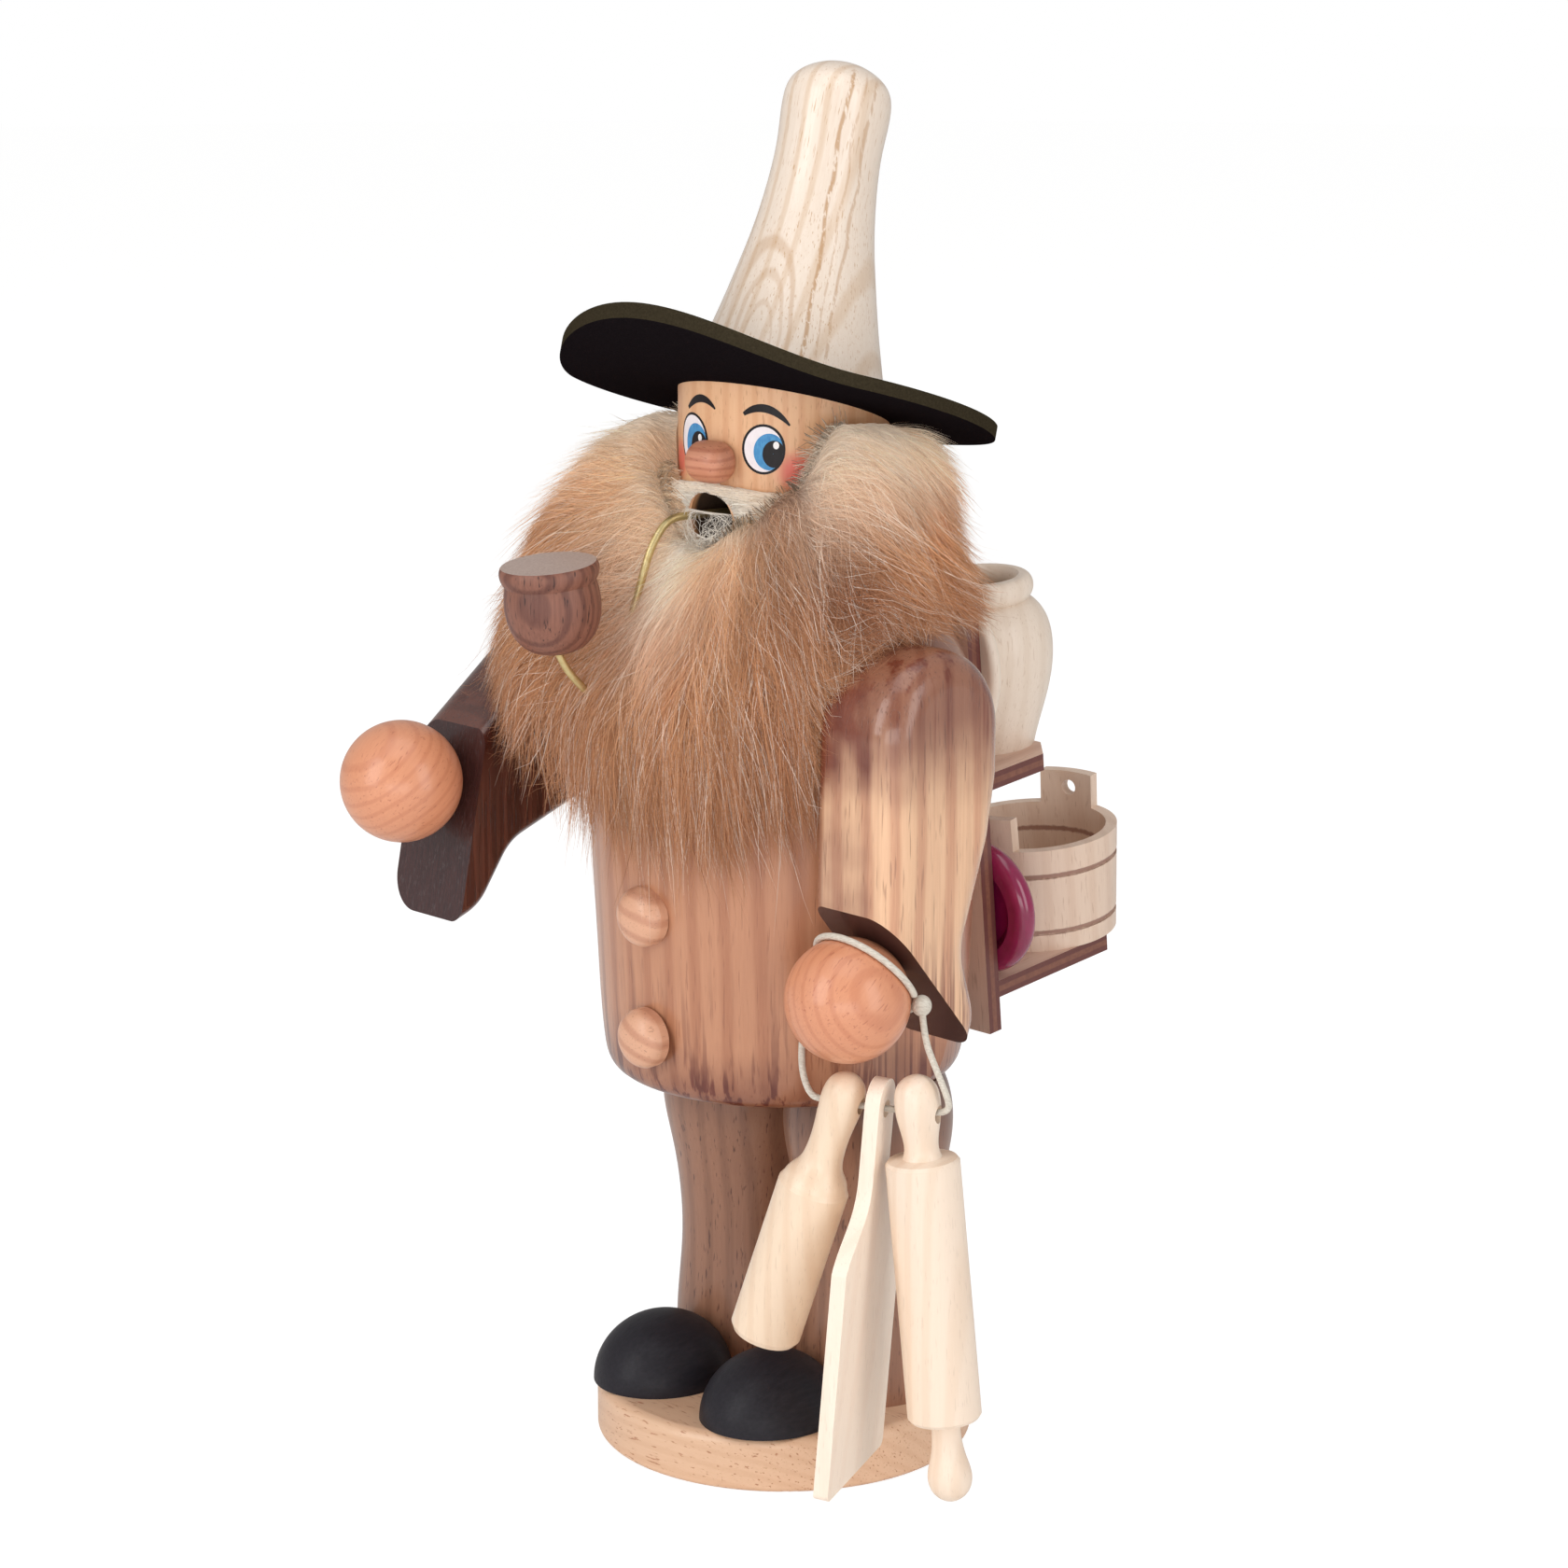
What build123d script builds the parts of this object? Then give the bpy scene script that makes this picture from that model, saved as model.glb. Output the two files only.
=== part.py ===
from build123d import *
import math
import os

os.makedirs("parts", exist_ok=True)

# A turned wooden incense smoker: a wandering seller of kitchen woodware.
# Millimetres, +Z up, the figure faces -Y, its own left is +X.
# The origin is the middle of the base's underside.

# Base
base_radius = 32.5
base_height = 9.6
base_top_round = 1.8
base_foot_round = 1.0

# Legs, turned with a tenon at each end
leg_height = 56.4
leg_radius = 14.5
leg_spread = 14.8
leg_setback = 5.4
leg_tenon_radius = 3.0
leg_tenon_length = 5.0
leg_side_shares = ((0.0, 0.83), (0.12, 0.84), (0.36, 0.775), (0.52, 0.8), (0.66, 0.88),
                   (0.83, 0.995), (0.93, 0.97), (1.0, 0.88))

# Shoes, half eggs cut to the legs
shoe_half_length = 12.6
shoe_radius = 11.4
shoe_spread = 13.1
shoe_reach = 16.6

# Coat, the hollow upper body that lifts off the legs
coat_height = 84.0
coat_radius = 32.5
coat_hem_share = 0.82
coat_hem_round_share = 0.055
coat_side_shares = ((0.055, 0.94), (0.26, 0.975), (0.48, 1.0), (0.66, 1.0), (0.79, 0.975),
                    (0.885, 0.87), (0.955, 0.68), (1.0, 0.46))
socket_radius = 20.3
socket_depth = 8.0
chamber_radius = 14.0
chamber_depth = 68.0
smoke_radius = 5.5

# Plug that the coat sits over, with its air holes, tray and nail
plug_clearance = 0.3
plug_height = 7.7
plug_edge = 1.0
air_hole_radius = 1.9
air_hole_spread = 4.2
air_hole_reach = 10.8
tray_radius = 9.0
tray_metal = 0.6
tray_rim_height = 1.4
nail_radius = 0.8
nail_length = 6.0
nail_head_radius = 2.0
nail_head_height = 0.8
nail_head_round = 0.6

# Head
head_radius = 17.5
head_height = 42.0
head_cheek_shares = ((0.0, 0.74), (0.05, 0.87), (0.14, 0.955), (0.3, 1.0))
head_side_shares = ((0.35, 1.0), (1.0, 1.0))
neck_tenon_radius = 8.0
neck_tenon_length = 6.0
mouth_radius = 4.9
mouth_height = 11.5
smoke_bore_height = 16.0

# Nose, an olive bead lying across the face
nose_half_width = 3.95
nose_radius = 3.45
nose_end_radius = 0.8
nose_height = 21.6
nose_stand = 2.0
nose_turn = 7.0
nose_tenon_radius = 1.5
nose_tenon_length = 4.0

# Hat, tipped back on the head
hat_seat_height = 28.5
hat_back_slope_share = 0.33
hat_side_slope_share = 0.07
brim_radius = 36.5
brim_thickness = 2.2
brim_shift = 1.8
brim_flat_half = 17.0
brim_front_curl = 42.0
brim_back_curl = 160.0
hat_tenon_radius = 5.0
hat_tenon_depth = 7.0
crown_height = 55.6
crown_radius = 16.6
crown_side_shares = ((0.0, 1.0), (0.08, 0.93), (0.2, 0.82), (0.33, 0.715), (0.48, 0.61),
                     (0.63, 0.545), (0.76, 0.53), (0.86, 0.545), (0.93, 0.5), (0.975, 0.34), (1.0, 0.0))

# Arms, rounded with spare length and sawn off at the cuff; angles turn them forward about the shoulder
arm_gap = 29.5
arm_thickness = 17.5
arm_radius = 13.5
arm_shoulder_reach = 9.5
arm_shoulder_height = 65.5
arm_length = 53.0
left_arm_turn = 0.0
right_arm_turn = 52.0
arm_outer_round = 5.5
arm_inner_round = 2.5
cuff_front_shares = (1.04, -0.528)
cuff_tip_shares = (-0.52, -1.0)
arm_bend_shares = ((-1.0, -0.15), (-0.86, -0.35), (-0.41, -0.68), (-0.66, -0.9))
arm_bend_round = 9.0
arm_spare = 10.0
arm_round_share = 0.75
shoulder_dowel_radius = 3.0
shoulder_dowel_depth = 7.0

# Hands, bored balls glued on a peg that stands out of the cuff
hand_radius = 10.2
hand_flat = 0.6
hand_rise = 6.0
hand_peg_radius = 2.0
hand_peg_in_arm = 8.0

# Buttons
button_radius = 5.0
button_edge = 1.0
button_dome = 2.6
button_sink = 0.6
button_tenon_radius = 1.5
button_tenon_length = 4.0
upper_button_height = 31.6
lower_button_height = 10.8

# Back rack of thin board: a panel with two tabbed shelves
board_thickness = 3.0
rack_lean = 5.6
panel_width = 33.0
panel_height = 79.6
panel_foot_height = 0.4
panel_foot_reach = 34.4
rack_corner = 5.0
tab_width = 12.0
tab_clearance = 0.1
lower_shelf_level = 9.0
lower_shelf_depth = 34.0
upper_shelf_level = 46.6
upper_shelf_depth = 19.6

# Pot on the upper shelf
pot_height = 30.5
pot_radius = 11.9
pot_side_shares = ((0.0, 0.655), (0.14, 0.76), (0.36, 0.93), (0.58, 1.0), (0.74, 0.93), (0.86, 0.68))
pot_rim_shares = ((0.875, 0.715), (0.91, 0.755), (0.955, 0.755), (0.99, 0.7), (1.0, 0.62))
pot_bore_shares = ((1.0, 0.56), (0.97, 0.5), (0.86, 0.5), (0.74, 0.72), (0.58, 0.79), (0.34, 0.72), (0.14, 0.4))
pot_across = 4.0
pot_back = 14.7

# Bucket on the lower shelf, with two ears
bucket_height = 19.0
bucket_foot_radius = 14.5
bucket_rim_radius = 15.5
bucket_wall = 2.0
bucket_floor = 2.2
ear_height = 6.0
ear_width = 10.6
ear_hole_radius = 1.4
ear_hole_drop = 3.0
ear_turn = 10.0
hoop_groove = 0.3
hoop_width = 0.9
hoop_shares = (0.16, 0.72)
bucket_across = 2.6
bucket_back = 25.6

# Plates that stand behind the panel
large_plate_radius = 18.3
large_plate_thickness = 2.4
large_plate_across = 1.0
small_plate_radius = 12.0
small_plate_thickness = 4.4
small_plate_across = 11.0
plate_rim_share = 0.3
plate_dish_share = 0.35
plate_stand_off = 0.15

# Pipe: a turned bowl on a bent brass wire
wire_radius = 0.65
wire_rise = 0.4
wire_set_depth = 4.0
pipe_turn = 12.0
bowl_height = 14.6
bowl_radius = 8.0
bowl_lean = 6.0
bowl_side_shares = ((0.0, 0.3), (0.03, 0.5), (0.12, 0.72), (0.3, 0.91), (0.5, 0.98), (0.78, 0.93))
bowl_rim_shares = ((0.8, 0.95), (0.86, 1.0), (0.97, 1.0), (1.0, 0.97))
bowl_reach = 43.7
bowl_drop = 19.4
bowl_wire_depth = 4.0
bowl_wire_run = 3.2
bowl_wire_lean = 22.0
# Corners of the wire: shares of the bowl's reach from the head's middle and of its drop below the mouth
wire_bend_share = 0.517
wire_corner_shares = ((0.592, -0.2), (0.757, -1.28), (0.845, -1.45))

# Kitchen tools in a row on one string under the left hand
row_turn = 24.0
row_out = 37.5
string_height = 72.0
masher_along = 24.0
cutting_board_along = 30.5
rolling_pin_along = 37.1
tool_hole_radius = 1.5
masher_lean = -17.9
masher_length = 48.6
masher_radius = 5.9
masher_top = 5.4
masher_knob_shares = ((1.0, 0.0), (0.99, 0.3), (0.965, 0.5), (0.93, 0.59), (0.88, 0.6),
                      (0.8, 0.54), (0.72, 0.53), (0.65, 0.66), (0.615, 0.85), (0.6, 0.9))
masher_shoulder_shares = ((0.59, 0.93), (0.575, 1.0))
masher_foot_shares = ((0.02, 1.0), (0.0, 0.9))
rolling_pin_lean = 5.5
rolling_pin_length = 72.0
rolling_pin_radius = 6.05
rolling_pin_top = 6.2
pin_knob_shares = ((1.0, 0.0), (0.993, 0.3), (0.975, 0.52), (0.945, 0.61), (0.91, 0.6),
                   (0.86, 0.49), (0.825, 0.47), (0.81, 0.53))
pin_shoulder_shares = ((0.806, 0.93), (0.798, 1.0))
pin_end_shares = ((0.206, 1.0), (0.198, 0.93))
pin_foot_shares = ((0.197, 0.44), (0.15, 0.4), (0.1, 0.5), (0.055, 0.6), (0.025, 0.5), (0.008, 0.3), (0.0, 0.0))
cutting_board_lean = -4.6
cutting_board_thickness = 2.5
cutting_board_top = 5.0
handle_half_width = 3.8
handle_length = 11.0
shoulder_length = 13.4
blade_half_width = 13.4
blade_length = 39.0
blade_corner = 1.2

# String
string_radius = 0.55
string_gap = 0.1
loop_setback = 5.5
loop_open_angle = 30.0
loop_meet_angle = 200.0
knot_angle = -32.0
knot_radius = 1.6
knot_half_length = 2.3
# Route of the hanging string: along the row, out from the figure, and up
string_route = (
    (37.4, 35.9, 83.9), (40.0, 37.6, 79.6), (42.2, 38.7, 75.8), (42.6, 37.9, 73.1),
    (39.9, 37.5, 72.0), (20.2, 37.5, 72.0), (18.0, 36.9, 73.3), (16.2, 35.2, 76.9), (15.2, 31.6, 82.2),
    (16.4, 28.9, 87.4),
)

# Fur of the beard and hair
fur_gap = 0.4
face_half_width = 15.0
face_half_height = 8.4
face_height = 25.9
fur_split_reach = 5.0
# Each row: height above the hem, middle across, middle forward, half width, half depth
beard_sections = (
    (40.0, 0.0, 28.5, 12.0, 3.0), (47.0, -1.0, 26.5, 24.0, 9.0), (58.0, -3.0, 22.5, 33.0, 17.5),
    (71.0, -4.0, 19.5, 37.0, 24.5), (80.0, -4.0, 17.5, 38.0, 27.0), (93.0, -2.0, 14.0, 36.5, 27.5),
    (103.0, -1.0, 9.0, 32.5, 25.0), (113.0, 0.0, 1.0, 23.5, 21.0), (121.0, 0.0, -1.0, 20.0, 19.0),
)
hair_sections = (
    (66.0, -2.0, 12.0, 32.0, 18.0), (76.0, -2.0, 4.0, 36.0, 27.0), (86.0, -2.0, 0.0, 37.0, 28.0),
    (96.0, -1.0, -1.0, 33.0, 26.0), (106.0, 0.0, -1.0, 27.0, 24.0), (121.0, 0.0, -1.0, 21.0, 22.0),
)

# Shared working values
overrun = 2.0
glue_gap = 0.05

# Levels
hem_height = base_height + leg_height
neck_height = hem_height + coat_height
shoulder_height = hem_height + arm_shoulder_height
hand_seat = hand_radius - hand_flat


def write(piece, name):
    """Label one finished piece and write it to its own file."""
    piece.part.label = name
    export_step(piece.part, f"parts/{name}.step")


def shared(length, radius, shares):
    """Points of a side outline: each share pair is up the length and out along the radius."""
    return [(out * radius, up * length) for up, out in shares]


def turned_plane(foot, up, across=Vector(1, 0, 0)):
    """Plane whose Y runs along a turned piece's axis, from the middle of its foot."""
    sideways = (across - up * across.dot(up)).normalized()
    return Plane(origin=foot, x_dir=sideways, z_dir=sideways.cross(up))


def turn(plane, runs, mode=Mode.ADD):
    """Revolve a side outline about the plane's Y axis; each run is a line or a smooth curve."""
    with BuildSketch(plane) as half:
        with BuildLine():
            for run in runs:
                if len(run) > 2:
                    Spline(*run)
                else:
                    Line(*run)
            first = runs[0][0]
            last = runs[-1][-1]
            corners = [last, (0, last[1]), (0, first[1]), first]
            Polyline(*[p for i, p in enumerate(corners) if i == 0 or p != corners[i - 1]])
        make_face()
    revolve(half.sketch, axis=Axis(plane.origin, plane.y_dir), mode=mode)


def joined(*groups):
    """Runs of an outline with a straight line between each run and the next."""
    runs = [groups[0]]
    for group in groups[1:]:
        runs.append([runs[-1][-1], group[0]])
        runs.append(group)
    return runs


def rod(foot, up, radius, length, mode=Mode.ADD):
    """Round bar or bore from a point along a direction."""
    with BuildSketch(Plane(origin=foot, z_dir=up)) as end:
        Circle(radius)
    extrude(end.sketch, amount=length, mode=mode)


# Base
with BuildPart() as base:
    with BuildSketch():
        Circle(base_radius)
    extrude(amount=base_height)
    fillet(base.edges().group_by(Axis.Z)[-1], radius=base_top_round)
    fillet(base.edges().group_by(Axis.Z)[0], radius=base_foot_round)
    for side in (-1, 1):
        tenon_foot = Vector(side * leg_spread, leg_setback, base_height - leg_tenon_length)
        rod(tenon_foot, Vector(0, 0, 1), leg_tenon_radius, leg_tenon_length + overrun, Mode.SUBTRACT)
write(base, "base")


# Legs and shoes
def leg_form(side, tenons=True):
    foot = Vector(side * leg_spread, leg_setback, base_height)
    plane = turned_plane(foot, Vector(0, 0, 1))
    turn(plane, [shared(leg_height, leg_radius, leg_side_shares)])
    if tenons:
        length = leg_height + 2 * leg_tenon_length
        rod(foot - Vector(0, 0, leg_tenon_length), Vector(0, 0, 1), leg_tenon_radius, length)


for side, name in ((-1, "right"), (1, "left")):
    with BuildPart() as leg:
        leg_form(side)
    write(leg, f"{name}_leg")

    with BuildPart(mode=Mode.PRIVATE) as leg_seat:
        leg_form(side, tenons=False)

    with BuildPart() as shoe:
        with BuildSketch(Plane.XY.offset(base_height)):
            with Locations((side * shoe_spread, -shoe_reach)):
                Ellipse(shoe_radius, shoe_half_length)
            with Locations((side * shoe_spread + side * shoe_radius, -shoe_reach)):
                Rectangle(2 * shoe_radius, 2 * (shoe_half_length + overrun), mode=Mode.SUBTRACT)
        toe_to_heel = Axis((side * shoe_spread, -shoe_reach, base_height), (0, 1, 0))
        revolve(axis=toe_to_heel)
        split(bisect_by=Plane.XY.offset(base_height), keep=Keep.TOP)
        add(leg_seat.part, mode=Mode.SUBTRACT)
    write(shoe, f"{name}_shoe")

# Plug, tray and nail
plug_radius = socket_radius - plug_clearance
plug_top = hem_height + plug_height
with BuildPart() as plug:
    with BuildSketch(Plane.XY.offset(hem_height)):
        Circle(plug_radius)
        with Locations((-air_hole_spread, -air_hole_reach), (air_hole_spread, -air_hole_reach)):
            Circle(air_hole_radius, mode=Mode.SUBTRACT)
    extrude(amount=plug_height)
    chamfer(plug.edges().group_by(Axis.Z)[-1].sort_by(SortBy.LENGTH)[-1], length=plug_edge)
    for side in (-1, 1):
        tenon_mouth = Vector(side * leg_spread, leg_setback, hem_height - overrun)
        rod(tenon_mouth, Vector(0, 0, 1), leg_tenon_radius, leg_tenon_length + overrun, Mode.SUBTRACT)
    nail_foot = Vector(0, 0, plug_top - nail_length)
    rod(nail_foot, Vector(0, 0, 1), nail_radius, nail_length + overrun, Mode.SUBTRACT)
write(plug, "plug")

with BuildPart() as incense_tray:
    tray_plane = turned_plane(Vector(0, 0, plug_top), Vector(0, 0, 1))
    with BuildSketch(tray_plane):
        with BuildLine():
            Polyline((nail_radius, 0), (tray_radius, 0), (tray_radius, tray_rim_height),
                     (tray_radius - tray_metal, tray_rim_height), (tray_radius - tray_metal, tray_metal),
                     (nail_radius, tray_metal), (nail_radius, 0))
        make_face()
    revolve(axis=Axis.Z)
write(incense_tray, "incense_tray")

with BuildPart() as tray_nail:
    rod(Vector(0, 0, plug_top + tray_metal), Vector(0, 0, 1), nail_head_radius, nail_head_height)
    fillet(tray_nail.edges().group_by(Axis.Z)[-1], radius=nail_head_round)
    rod(nail_foot, Vector(0, 0, 1), nail_radius, nail_length + tray_metal)
write(tray_nail, "tray_nail")

# Rack frame: up along the leaning panel and back along the shelves
lean = math.radians(rack_lean)
rack_up = Vector(0, -math.sin(lean), math.cos(lean))
rack_back = Vector(0, math.cos(lean), math.sin(lean))
rack_foot = Vector(0, panel_foot_reach, hem_height + panel_foot_height)
panel_plane = Plane(origin=rack_foot, x_dir=(-1, 0, 0), z_dir=rack_back)
rack_face = rack_foot + rack_back * board_thickness


def shelf_plane(level):
    """Plane of a shelf's top, X across and Y towards the back, on the panel's rear face."""
    return Plane(origin=rack_face + rack_up * level, x_dir=(1, 0, 0), z_dir=rack_up)


def spot(level, across, back):
    """Point on a shelf's top."""
    return rack_face + rack_up * level + Vector(across, 0, 0) + rack_back * back


# Hat frame
hat_up = Vector(-hat_side_slope_share, hat_back_slope_share, 1).normalized()
hat_seat = Vector(0, 0, neck_height + hat_seat_height)
hat_plane = Plane(origin=hat_seat, x_dir=Vector(0, 1, 0).cross(hat_up), z_dir=hat_up)


# Shoulders and hands
def arm_frame(side, turn_angle):
    """Plane of an arm's inner face at the shoulder: X forward, Y up along the upper arm."""
    angle = math.radians(turn_angle)
    forward = Vector(0, -math.cos(angle), math.sin(angle))
    shoulder = Vector(side * arm_gap, -arm_shoulder_reach, shoulder_height)
    return Plane(origin=shoulder, x_dir=forward, z_dir=(-1, 0, 0))


cuff_front = Vector(cuff_front_shares[0] * arm_radius, cuff_front_shares[1] * arm_length)
cuff_tip = Vector(cuff_tip_shares[0] * arm_radius, cuff_tip_shares[1] * arm_length)
cuff_rise = (cuff_front - cuff_tip).normalized()
cuff_out = Vector(cuff_rise.Y, -cuff_rise.X)
hand_seat_point = (cuff_front + cuff_tip) * 0.5 + cuff_rise * hand_rise


def hand_axis(side, turn_angle):
    """Seat of the hand's peg on the cuff and the direction it points."""
    frame = arm_frame(side, turn_angle)
    middle = Vector(side * arm_thickness / 2, 0, 0)
    seat = frame.from_local_coords(hand_seat_point) + middle
    out = frame.from_local_coords(hand_seat_point + cuff_out) + middle - seat
    return seat, out


def head_form(extra=0):
    """Outside of the head, made larger all round by an extra gap."""
    plane = turned_plane(Vector(0, 0, neck_height - extra), Vector(0, 0, 1))
    groups = (head_cheek_shares, head_side_shares)
    turn(plane, joined(*[shared(head_height + 2 * extra, head_radius + extra, group) for group in groups]))


def coat_form(extra=0):
    """Outside of the coat, made larger all round by an extra gap."""
    plane = turned_plane(Vector(0, 0, hem_height - extra), Vector(0, 0, 1))
    side_points = shared(coat_height + 2 * extra, coat_radius + extra, coat_side_shares)
    hem_point = (coat_hem_share * (coat_radius + extra), 0)
    with BuildSketch(plane) as half:
        with BuildLine():
            side_line = Spline(*side_points, tangents=((0.12, 1), (-1, 0.45)))
            hem_line = Spline(hem_point, side_points[0], tangents=((1, 0), (0.12, 1)))
            Polyline(side_line @ 1, (0, side_points[-1][1]), (0, 0), hem_line @ 0)
        make_face()
    revolve(half.sketch, axis=Axis.Z)


def arm_outline(frame, gap=0, spare=0):
    """Side outline of an arm: round shoulder, bent back and slanted cuff, with spare length past the cuff."""
    bends = [Vector(f * arm_radius, u * arm_length) for f, u in arm_bend_shares]
    tip = cuff_tip + (cuff_tip - bends[-1]).normalized() * spare
    front = cuff_front + (cuff_front - Vector(arm_radius, 0)).normalized() * spare
    with BuildSketch(frame) as outline:
        with BuildLine():
            ThreePointArc((arm_radius, 0), (0, arm_radius), (-arm_radius, 0))
            FilletPolyline((-arm_radius, 0), *bends, tip, radius=arm_bend_round)
            Line(tip, front)
            Line(front, (arm_radius, 0))
        make_face()
        if gap:
            offset(amount=gap)
    return outline.sketch


# Coat
with BuildPart() as coat:
    coat_form()
    for side in (-1, 1):
        split(bisect_by=Plane(origin=(side * arm_gap, 0, 0), z_dir=(side, 0, 0)), keep=Keep.BOTTOM)
    split(bisect_by=Plane(origin=rack_foot, z_dir=rack_back), keep=Keep.BOTTOM)
    rod(Vector(0, 0, hem_height - overrun), Vector(0, 0, 1), socket_radius, socket_depth + overrun, Mode.SUBTRACT)
    rod(Vector(0, 0, hem_height), Vector(0, 0, 1), chamber_radius, chamber_depth, Mode.SUBTRACT)
    rod(Vector(0, 0, hem_height), Vector(0, 0, 1), smoke_radius, coat_height + overrun, Mode.SUBTRACT)
    rod(Vector(0, 0, neck_height - neck_tenon_length), Vector(0, 0, 1), neck_tenon_radius,
        neck_tenon_length + overrun, Mode.SUBTRACT)
    for height in (upper_button_height, lower_button_height):
        front = Vector(0, -coat_radius - overrun, hem_height + height)
        rod(front, Vector(0, 1, 0), button_tenon_radius, button_tenon_length + overrun + button_sink, Mode.SUBTRACT)
    for side in (-1, 1):
        mouth = Vector(side * (arm_gap - shoulder_dowel_depth), -arm_shoulder_reach, shoulder_height)
        rod(mouth, Vector(side, 0, 0), shoulder_dowel_radius, shoulder_dowel_depth + overrun, Mode.SUBTRACT)
write(coat, "coat")

with BuildPart(mode=Mode.PRIVATE) as coat_seat:
    coat_form()

# Buttons
for height, name in ((upper_button_height, "upper_button"), (lower_button_height, "lower_button")):
    button_back = Vector(0, -coat_radius + button_sink, hem_height + height)
    with BuildPart() as button:
        edge_point = (button_radius, button_edge + button_sink)
        face_plane = turned_plane(button_back, Vector(0, -1, 0))
        with BuildSketch(face_plane):
            with BuildLine():
                face = Spline(edge_point, (0, edge_point[1] + button_dome), tangents=((-0.25, 1), (-1, 0)))
                Polyline(face @ 1, (0, 0), (button_radius, 0), face @ 0)
            make_face()
        revolve(axis=Axis(button_back, (0, -1, 0)))
        add(coat_seat.part, mode=Mode.SUBTRACT)
        tenon_end = Vector(0, -coat_radius + button_sink + button_tenon_length, hem_height + height)
        rod(tenon_end, Vector(0, -1, 0), button_tenon_radius, button_tenon_length + button_edge)
    write(button, name)

# Head
nose_angle = math.radians(nose_turn)
nose_out = Vector(math.sin(nose_angle), -math.cos(nose_angle), 0)
nose_centre = nose_out * (head_radius + nose_stand) + Vector(0, 0, neck_height + nose_height)
nose_tenon_foot = nose_centre - nose_out * (nose_stand + nose_tenon_length)
mouth_centre = Vector(0, 0, neck_height + mouth_height)
pipe_angle = math.radians(pipe_turn)
pipe_out = Vector(-math.sin(pipe_angle), -math.cos(pipe_angle), 0)
with BuildPart() as head:
    head_form()
    split(bisect_by=hat_plane, keep=Keep.BOTTOM)
    tenon_foot = Vector(0, 0, neck_height - neck_tenon_length)
    rod(tenon_foot, Vector(0, 0, 1), neck_tenon_radius, neck_tenon_length + overrun)
    rod(tenon_foot - Vector(0, 0, overrun), Vector(0, 0, 1), smoke_radius,
        neck_tenon_length + smoke_bore_height + overrun, Mode.SUBTRACT)
    rod(mouth_centre, Vector(0, -1, 0), mouth_radius, head_radius + overrun, Mode.SUBTRACT)
    rod(mouth_centre + Vector(0, 0, wire_rise), -pipe_out, wire_radius, smoke_radius + wire_set_depth,
        Mode.SUBTRACT)
    rod(nose_tenon_foot, nose_out, nose_tenon_radius, nose_tenon_length + nose_stand + overrun, Mode.SUBTRACT)
    rod(hat_seat - hat_up * hat_tenon_depth, hat_up, hat_tenon_radius, hat_tenon_depth + overrun, Mode.SUBTRACT)
write(head, "head")

with BuildPart() as nose:
    across = Vector(-nose_out.Y, nose_out.X, 0)
    bead_plane = Plane(origin=nose_centre, x_dir=across, z_dir=nose_out.cross(across))
    with BuildSketch(bead_plane):
        with BuildLine():
            side_line = Spline((-nose_half_width, nose_end_radius), (0, nose_radius),
                               (nose_half_width, nose_end_radius), tangents=((0.15, 1), (0.15, -1)))
            Polyline(side_line @ 1, (nose_half_width, 0), (-nose_half_width, 0), side_line @ 0)
        make_face()
    revolve(axis=Axis(nose_centre, across))
    split(bisect_by=Plane(origin=nose_centre - nose_out * nose_stand, z_dir=nose_out), keep=Keep.TOP)
    rod(nose_tenon_foot, nose_out, nose_tenon_radius, nose_tenon_length + nose_stand)
write(nose, "nose")

# Hat brim: felt, flat where it is glued, its front curled up and its back a little
sheet_plane = Plane(origin=hat_seat, x_dir=hat_up.cross(hat_plane.x_dir), z_dir=hat_plane.x_dir)
brim_run = brim_radius + brim_shift + overrun
with BuildPart() as hat_brim:
    with BuildSketch(sheet_plane):
        with Locations((0, brim_thickness / 2)):
            Rectangle(2 * brim_flat_half, brim_thickness)
        for side, curl in ((-1, brim_front_curl), (1, brim_back_curl)):
            angle = math.asin(min(1, (brim_run - brim_flat_half) / curl))
            inner = curl - brim_thickness
            with BuildLine():
                lower = Spline(*[(side * (brim_flat_half + curl * math.sin(angle * share)),
                                  curl - curl * math.cos(angle * share)) for share in (0, 0.5, 1)],
                               tangents=((side, 0), (side * math.cos(angle), math.sin(angle))))
                upper = Spline(*[(side * (brim_flat_half + inner * math.sin(angle * share)),
                                  curl - inner * math.cos(angle * share)) for share in (0, 0.5, 1)],
                               tangents=((side, 0), (side * math.cos(angle), math.sin(angle))))
                Line(lower @ 0, upper @ 0)
                Line(lower @ 1, upper @ 1)
            make_face()
    extrude(amount=brim_run, both=True)
    with BuildSketch(hat_plane):
        with Locations(hat_plane.to_local_coords(hat_seat - sheet_plane.x_dir * brim_shift)):
            Circle(brim_radius)
    extrude(amount=brim_run, both=True, mode=Mode.INTERSECT)
    rod(hat_seat - hat_up * overrun, hat_up, hat_tenon_radius, brim_thickness + 2 * overrun, Mode.SUBTRACT)
write(hat_brim, "hat_brim")

# Hat crown
crown_foot = hat_seat + hat_up * brim_thickness
with BuildPart() as hat_crown:
    turn(turned_plane(crown_foot, hat_up), [shared(crown_height, crown_radius, crown_side_shares)])
    rod(hat_seat - hat_up * (hat_tenon_depth - glue_gap), hat_up, hat_tenon_radius,
        hat_tenon_depth + brim_thickness)
write(hat_crown, "hat_crown")

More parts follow.
